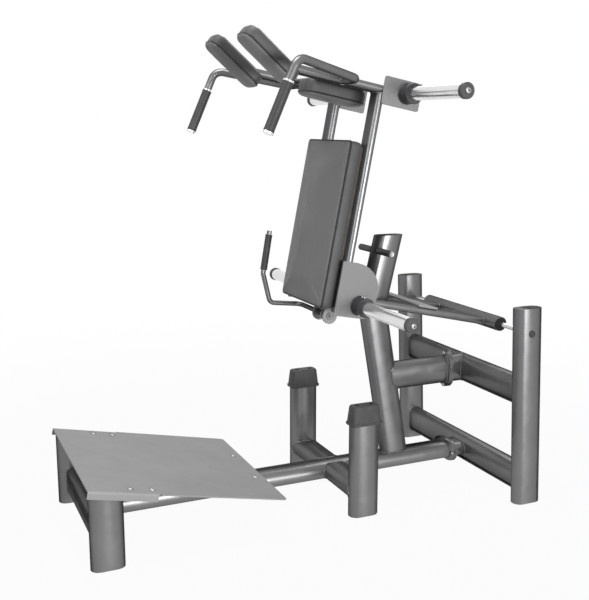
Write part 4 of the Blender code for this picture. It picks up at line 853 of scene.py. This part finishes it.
# where the cushions' backs lie, given from the corner of upright and shoulder tube
cushionSeat = {
    "backTop": -0.195,            # top of the back cushion, below the corner
    "boardThick": 0.011,
    "shoulderSlope": 30.5,
    "shoulderAway": 0.1733,       # square to the pad
    "shoulderStart": 0.270,       # along the pad
    "neckEnds": (0.035, -0.220),  # behind and in front of the corner
    "neckRise": 0.006,
}
sideways = Vector((1, 0, 0))
padUp = (carriageTurn @ Vector((0, 0, 1))).normalized()
padOut = (carriageTurn @ Vector((0, -1, 0))).normalized()
boardBack = layout["uprightBack"] - layout["uprightThick"] / 2 - layout["gap"]
padBack = boardBack - cushionSeat["boardThick"] - layout["gap"]
backMiddle = cushionSeat["backTop"] - cushions["back"]["long"] / 2
buildCushion("backCushion", "back_pad", cushions["back"],
             facing(sideways, padUp, padOut, fromCorner(0, padBack, backMiddle)))

shoulderSlope = math.radians(cushionSeat["shoulderSlope"])
alongPad = Vector((0, -math.cos(shoulderSlope), math.sin(shoulderSlope)))
outOfPad = Vector((0, -math.sin(shoulderSlope), -math.cos(shoulderSlope)))
for side, sign in mirrored:
    corner = Vector((sign * layout["uprightX"], -layout["uprightReach"], layout["cornerRise"]))
    middle = (corner + outOfPad * cushionSeat["shoulderAway"]
              + alongPad * (cushionSeat["shoulderStart"] + cushions["shoulder"]["long"] / 2))
    place = facing(sideways, carriageTurn @ alongPad, carriageTurn @ outOfPad, carriage @ middle)
    buildCushion("shoulderCushion" + side.capitalize(), "shoulder_pad_" + side, cushions["shoulder"], place)

neckMiddle = fromCorner(0, sum(cushionSeat["neckEnds"]) / 2, cushionSeat["neckRise"])
neckPlace = facing(sideways, carriageTurn @ Vector((0, 1, 0)), carriageTurn @ Vector((0, 0, -1)), neckMiddle)
buildCushion("neckCushion", "neck_pad", cushions["neck"], neckPlace)
print("cushions built")


# bolt heads and washers: width across, height
fastener = {
    "deckHead": 0.0212,
    "deckHeight": 0.0048,
    "flangeFlats": 0.0135,
    "flangeHeight": 0.0058,
    "washer": 0.0170,
    "washerThick": 0.0012,
    "lift": 0.0002,               # clear of the face below
    "sides": 24,
    # shares of the head's radius and height
    "dome": ((1.0, 0.0), (1.0, 0.35), (0.93, 0.68), (0.78, 0.9), (0.6, 1.0)),
    "socketRadius": 0.42,
    "socketFloor": 0.35,
    "socketFlat": 0.134,          # how far the middle of a socket's flat lies inside its corners
    "hexBevel": (0.9, 0.82),
}
plate = {
    "frontY": -0.87793249,
    "frontHeight": 0.297,
    "slope": 11.9,
    "boltX": 0.305,
    "boltRows": (0.152, 0.229),
    "rearBoltX": 0.122,
    "rearRow": 0.6855,
}
plateTurn = Matrix.Rotation(math.radians(-plate["slope"]), 3, "X")
plateUp = plateTurn @ Vector((0, 0, 1))


def onPlate(x, back, above=0.0):
    return Vector((0, plate["frontY"], plate["frontHeight"])) + plateTurn @ Vector((x, back, above))


def addSocketHead(target, place, out, across, height):
    # low round head with a hexagon socket
    out, side, other = lineAxes(out)
    radius = across / 2
    sides = fastener["sides"]
    dome = [(height * level, radius * size) for size, level in fastener["dome"]]
    rings = turnedRings(dome, place, out, sides)
    socket = radius * fastener["socketRadius"]
    hexagon = []
    for step in range(sides):
        share = 1.0 - fastener["socketFlat"] * abs(math.sin(3 * 2 * math.pi * step / sides))
        hexagon.append((share, 2 * math.pi * step / sides))
    for level in (height, height * fastener["socketFloor"]):
        rings.append([place + out * level + (side * math.cos(turn) + other * math.sin(turn)) * socket * share
                      for share, turn in hexagon])
    addRings(target, rings)


def addHexHead(target, place, out):
    # flange bolt: a washer, then the six-sided head
    out, side, other = lineAxes(out)
    thick, height = fastener["washerThick"], fastener["flangeHeight"]
    washer = fastener["washer"] / 2
    rings = turnedRings(((0.0, washer), (thick, washer)), place, out, fastener["sides"])
    corner = fastener["flangeFlats"] / math.sqrt(3)
    topSize, topStart = fastener["hexBevel"]
    turns = [2 * math.pi * step / fastener["sides"] for step in range(fastener["sides"])]
    for size, level in ((1.0, thick), (1.0, height * topStart), (topSize, height)):
        rings.append([place + out * level + (side * math.cos(turn) + other * math.sin(turn)) * corner * size
                      * math.cos(math.pi / 6) / math.cos((turn % (math.pi / 3)) - math.pi / 6)
                      for turn in turns])
    addRings(target, rings)


deckBolts = bmesh.new()
boltSpots = [(sign * plate["boltX"], row) for sign in (1, -1) for row in plate["boltRows"]]
boltSpots += [(sign * plate["rearBoltX"], plate["rearRow"]) for sign in (1, -1)]
for x, row in boltSpots:
    spot = onPlate(x, row, fastener["lift"])
    addSocketHead(deckBolts, spot, plateUp, fastener["deckHead"], fastener["deckHeight"])
addWorked("deckBoltHeads", deckBolts, "zincSteel", "frame")

flange = {"thick": 0.010, "ear": 0.009, "baseStub": 0.050, "upperStub": 0.045}
flangeBolts = bmesh.new()
# height, stub, direction of the tube's wide way
flangeJoints = ((base, flange["baseStub"], Vector((1, 0, 0))),
                (upper, flange["upperStub"], Vector((0, 0, 1))))
for height, stub, across in flangeJoints:
    rearFace = columnMiddle(height) - halfThick - stub
    frontFace = rearFace - 2 * flange["thick"] - layout["gap"]
    for sign in (1, -1):
        ear = Vector((0, 0, height)) + across * sign * (halfWide + flange["ear"])
        for face, direction in ((rearFace, 1), (frontFace, -1)):
            place = ear + Vector((0, face + direction * (layout["gap"] + fastener["lift"]), 0))
            addHexHead(flangeBolts, place, (0, direction, 0))
addWorked("flangeBoltHeads", flangeBolts, "zincSteel", "frame")
print("bolts built")


# weight horns: places of their axes from the corner, then the sizes of collar, ring and bolts
horn = {
    "lower": {"back": 0.072, "up": -0.791},
    "upper": {"back": 0.106, "up": 0.006},
    "plateX": 0.2153,
    "collarRadius": 0.0345,
    "collarEnd": 0.263,
    "weldFoot": ((0.0, 0.0035), (0.0012, 0.0034), (0.0036, 0.0012), (0.0056, 0.0)),   # distance, rise
    "ringRadius": 0.0366,
    "ringBack": 0.0012,           # how far the ring reaches back over the collar
    "ringThick": 0.0073,
    "ringEdge": (0.0007, 0.0008),
    "bore": 0.0262,
    "sides": 48,
    "end": 0.610,
    "boltHead": 0.0215,
    "boltHeight": 0.006,
    "screws": ((0.012, 1), (0.032, 1), (0.012, -1)),      # distance from the plate, up or down
    "screwHead": 0.0072,
    "screwHeight": 0.0036,
    "sink": 0.0004,               # how far the heads reach into what they hold
}
horns = [(level, side, sign) for level in ("lower", "upper") for side, sign in mirrored]
for level, side, sign in horns:
    axis = Vector((sign, 0, 0))
    root = fromCorner(0, horn[level]["back"], horn[level]["up"])
    start, radius, ring = horn["plateX"], horn["collarRadius"], horn["ringRadius"]
    reach = horn["collarEnd"] - start
    end = reach + horn["ringThick"]
    edgeLong, edgeDeep = horn["ringEdge"]
    collar = [(distance, radius + rise) for distance, rise in horn["weldFoot"]]
    collar += [(reach - horn["ringBack"], radius), (reach - horn["ringBack"], ring - edgeDeep), (reach, ring),
               (end - edgeLong, ring), (end, ring - edgeDeep), (end, horn["bore"]), (0.0, horn["bore"])]
    profile = [(start + distance, size) for distance, size in collar]
    addTurned(level + "HornSocket" + side.capitalize(), profile, root, axis, horn["sides"],
              "darkSteel", "carriage")

    if level == "lower":
        screws = bmesh.new()
        for distance, way in horn["screws"]:
            out = carriageTurn @ Vector((0, 0, way))
            spot = root + axis * (start + distance) + out * (radius - horn["sink"])
            addSocketHead(screws, spot, out, horn["screwHead"], horn["screwHeight"])
        addWorked("lowerHornScrews" + side.capitalize(), screws, "hornChrome", "carriage")

    head = bmesh.new()
    addSocketHead(head, root + axis * (horn["end"] - horn["boltHeight"] + fastener["lift"]), axis,
                  horn["boltHead"], horn["boltHeight"] + horn["sink"])
    addWorked(level + "HornBolt" + side.capitalize(), head, "zincSteel", "carriage")
print("horns built")


# grips: smooth moulded sleeves with a rim at both ends
gripShape = {
    "rimLength": 0.004,
    "rimSlope": 0.0012,
    "rimEdge": (0.0008, 0.001),
    "sides": 40,
}


def addGrip(name, node, start, along, length, body, sizes):
    # the rims' outer edges are rounded, and a short slope leads down to the sleeve
    rim, radius, bore = sizes["rim"], sizes["radius"], sizes["bore"]
    edge, slope = gripShape["rimLength"], gripShape["rimSlope"]
    edgeLong, edgeDeep = gripShape["rimEdge"]
    profile = ((0.0, bore), (0.0, rim - edgeDeep), (edgeLong, rim), (edge, rim), (edge + slope, radius),
               (length - edge - slope, radius), (length - edge, rim), (length - edgeLong, rim),
               (length, rim - edgeDeep), (length, bore))
    piece = addTurned(name, profile, start, along, gripShape["sides"], "gripRubber", body)
    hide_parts(node)


# bent handles: grip, the bright ferrule above it and the bright end below
handle = {
    "radius": 0.0155,
    "rear": -0.149,
    "rearRise": 0.003,
    "spread": 0.410,
    "bendForward": -0.4285,
    "bendRise": 0.0084,
    "legTurn": 12.9,
    "leg": 0.258,
    "gripStart": 0.088,
    "grip": {"rim": 0.0188, "radius": 0.0180, "bore": 0.0158},
    "ferrule": {"length": 0.007, "above": 0.0073, "radius": 0.0192, "bore": 0.0157, "edge": 0.0008},
    # distance from the bar's end, radius
    "endShape": ((0.0002, 0.0165), (0.0002, 0.0178), (0.0010, 0.0184), (0.0066, 0.0184), (0.0088, 0.0172),
                 (0.0104, 0.0120), (0.0108, 0.0040)),
    "endSides": 32,
}
legTurn = math.radians(handle["legTurn"])
legDown = carriageTurn @ Vector((0, -math.sin(legTurn), -math.cos(legTurn)))
ferrule = handle["ferrule"]
length, radius, edge = ferrule["length"], ferrule["radius"], ferrule["edge"]
band = ((0.0, ferrule["bore"]), (0.0, radius - edge), (edge, radius), (length - edge, radius),
        (length, radius - edge), (length, ferrule["bore"]))
for side, sign in mirrored:
    bend = fromCorner(sign * handle["spread"], handle["bendForward"], handle["bendRise"])
    start = bend + legDown * handle["gripStart"]
    addGrip("handleGrip" + side.capitalize(), "handle_grip_" + side, start, legDown,
            handle["leg"] - layout["gap"] - handle["gripStart"], "carriage", handle["grip"])
    addTurned("handleFerrule" + side.capitalize(), band, start - legDown * ferrule["above"], legDown,
              gripShape["sides"], "hornChrome", "carriage")
    addTurned("handleEnd" + side.capitalize(), handle["endShape"], bend + legDown * handle["leg"], legDown,
              handle["endSides"], "hornChrome", "carriage", hollow=False)

release = {
    "pivot": (0.0, 0.14125806, 0.73549575),
    "corner": (-0.232, -0.138, 0.016),      # foot of the upright rod, from the pivot
    "knee": (0.0, -0.0295, 0.124),          # from the corner
    "top": (0.0, 0.0, 0.297),
    "gripLength": 0.144,
    "fromTop": 0.016,
    "grip": {"rim": 0.0146, "radius": 0.0140, "bore": 0.0103},
}
leverCorner = Vector(release["pivot"]) + Vector(release["corner"])
leverTop = leverCorner + Vector(release["top"])
leverDown = (leverCorner + Vector(release["knee"]) - leverTop).normalized()
addGrip("releaseGripCover", "release_grip", leverTop + leverDown * release["fromTop"], leverDown,
        release["gripLength"], "release", release["grip"])
print("grips built")


# weld beads: where two tubes meet, a rippled cord follows the seam over their flats and rounds
weld = {
    "radius": 0.0027,
    "ripple": 0.0002,
    "spacing": 0.0032,
    "sides": 6,
    "sideSteps": 9,
    "leastFlat": 0.00001,
}


def addBead(target, points):
    # a closed cord that swells and narrows from ring to ring
    count = len(points)
    middle = sum(points, Vector()) / count
    rings = []
    for index, point in enumerate(points):
        along = (points[(index + 1) % count] - points[index - 1]).normalized()
        across = point - middle
        across = (across - along * across.dot(along)).normalized()
        other = along.cross(across)
        radius = weld["radius"] + weld["ripple"] * (1 if index % 2 else -1)
        rings.append([point + across * u + other * v for u, v in circle(radius, weld["sides"])])
    addRings(target, rings, closed=True)


def seamBead(target, wide, thick, place):
    # round the end of an oval tube; place turns its (across, thick way) into the point on the seam
    outline = roundedOutline(wide, thick, thick / 2 - weld["leastFlat"], weld["sideSteps"])
    addBead(target, [Vector(place(u, v)) for u, v in evenPath(outline, weld["spacing"])])


def roundReach(radius, offset):
    # how far a round edge reaches at an offset from its middle line
    return math.sqrt(max(radius ** 2 - offset ** 2, 0.0))


flatHalf = halfWide - halfThick


def ovalReach(offset):
    # flat side, then the round edge, of a tube met by one as wide as itself
    return roundReach(halfThick, max(abs(offset) - flatHalf, 0.0))


def postRear(x, height):
    axis = postFoot - math.tan(postLean) * (height - spineTop)
    return axis + (flatHalf + roundReach(halfThick, x)) / math.cos(postLean)


beads = bmesh.new()


def frameSeam(place, wide=layout["tubeWide"]):
    seamBead(beads, wide, layout["tubeThick"], place)


legY, stopY, stopX = layout["legY"], layout["stopY"], layout["stopX"]
for sign in (1, -1):
    for height in (base, upper):
        frameSeam(lambda u, v: (sign * (layout["columnX"] - halfThick), columnMiddle(height) + v, height + u))
    frameSeam(lambda u, v: (sign * (layout["legX"] - halfThick), legY + v, base + u))
    frameSeam(lambda u, v: (sign * (stopX - ovalReach(u)), stopY + u, base + v))
    frameSeam(lambda u, v: (sign * (flatHalf + roundReach(halfThick, v)), stopY + u, base + v))
frameSeam(lambda u, v: (u, legY + halfThick, base + v))
frameSeam(lambda u, v: (u, columnMiddle(base) - halfThick, base + v))
frameSeam(lambda u, v: (v, columnMiddle(upper) - ovalReach(u), upper + u))
frameSeam(lambda u, v: (v, postRear(v, upper + u), upper + u))
frameSeam(lambda u, v: (v, postFoot + u, spineTop), layout["tubeWide"] / math.cos(postLean))
for height, stub, across in flangeJoints:
    rearFace = columnMiddle(height) - halfThick - stub
    other = across.cross(Vector((0, 1, 0)))
    for face in (rearFace, rearFace - 2 * flange["thick"] - layout["gap"]):
        frameSeam(lambda u, v: Vector((0, face, height)) + across * u + other * v)
addPiece("frameWelds", beads, "frameSteel", "frame")

beads = bmesh.new()


def carriageSeam(tube, place):
    seamBead(beads, layout[tube + "Wide"], layout[tube + "Thick"], place)


edge = layout["uprightThick"] / 2
uprightRear = layout["uprightBack"] + edge
shoulderFlat = layout["uprightX"] + layout["uprightWide"] / 2 - edge
armEnd = layout["armFront"] - layout["cornerRise"]
armX, uprightX, armRear = layout["armX"], layout["uprightX"], layout["armRear"]
for sign in (1, -1):
    # arm to upright, arm to pivot tube, upright to shoulder tube, handle to shoulder tube
    carriageSeam("arm", lambda u, v: fromCorner(sign * armX + u, uprightRear, armEnd + v))
    carriageSeam("arm", lambda u, v: carriage @ Vector(
        (sign * armX + u, -roundReach(layout["pivotRadius"], armRear + v), armRear + v)))
    carriageSeam("upright", lambda u, v: fromCorner(
        sign * uprightX + u, layout["uprightBack"] + v, layout["shoulderRise"] - edge))
    seamBead(beads, 2 * handle["radius"], 2 * handle["radius"], lambda u, v: fromCorner(
        sign * (shoulderFlat + roundReach(edge, handle["rearRise"] - layout["shoulderRise"] + v)),
        handle["rear"] + u, handle["rearRise"] + v))
addPiece("carriageWelds", beads, "frameSteel", "carriage")
print("welds built")
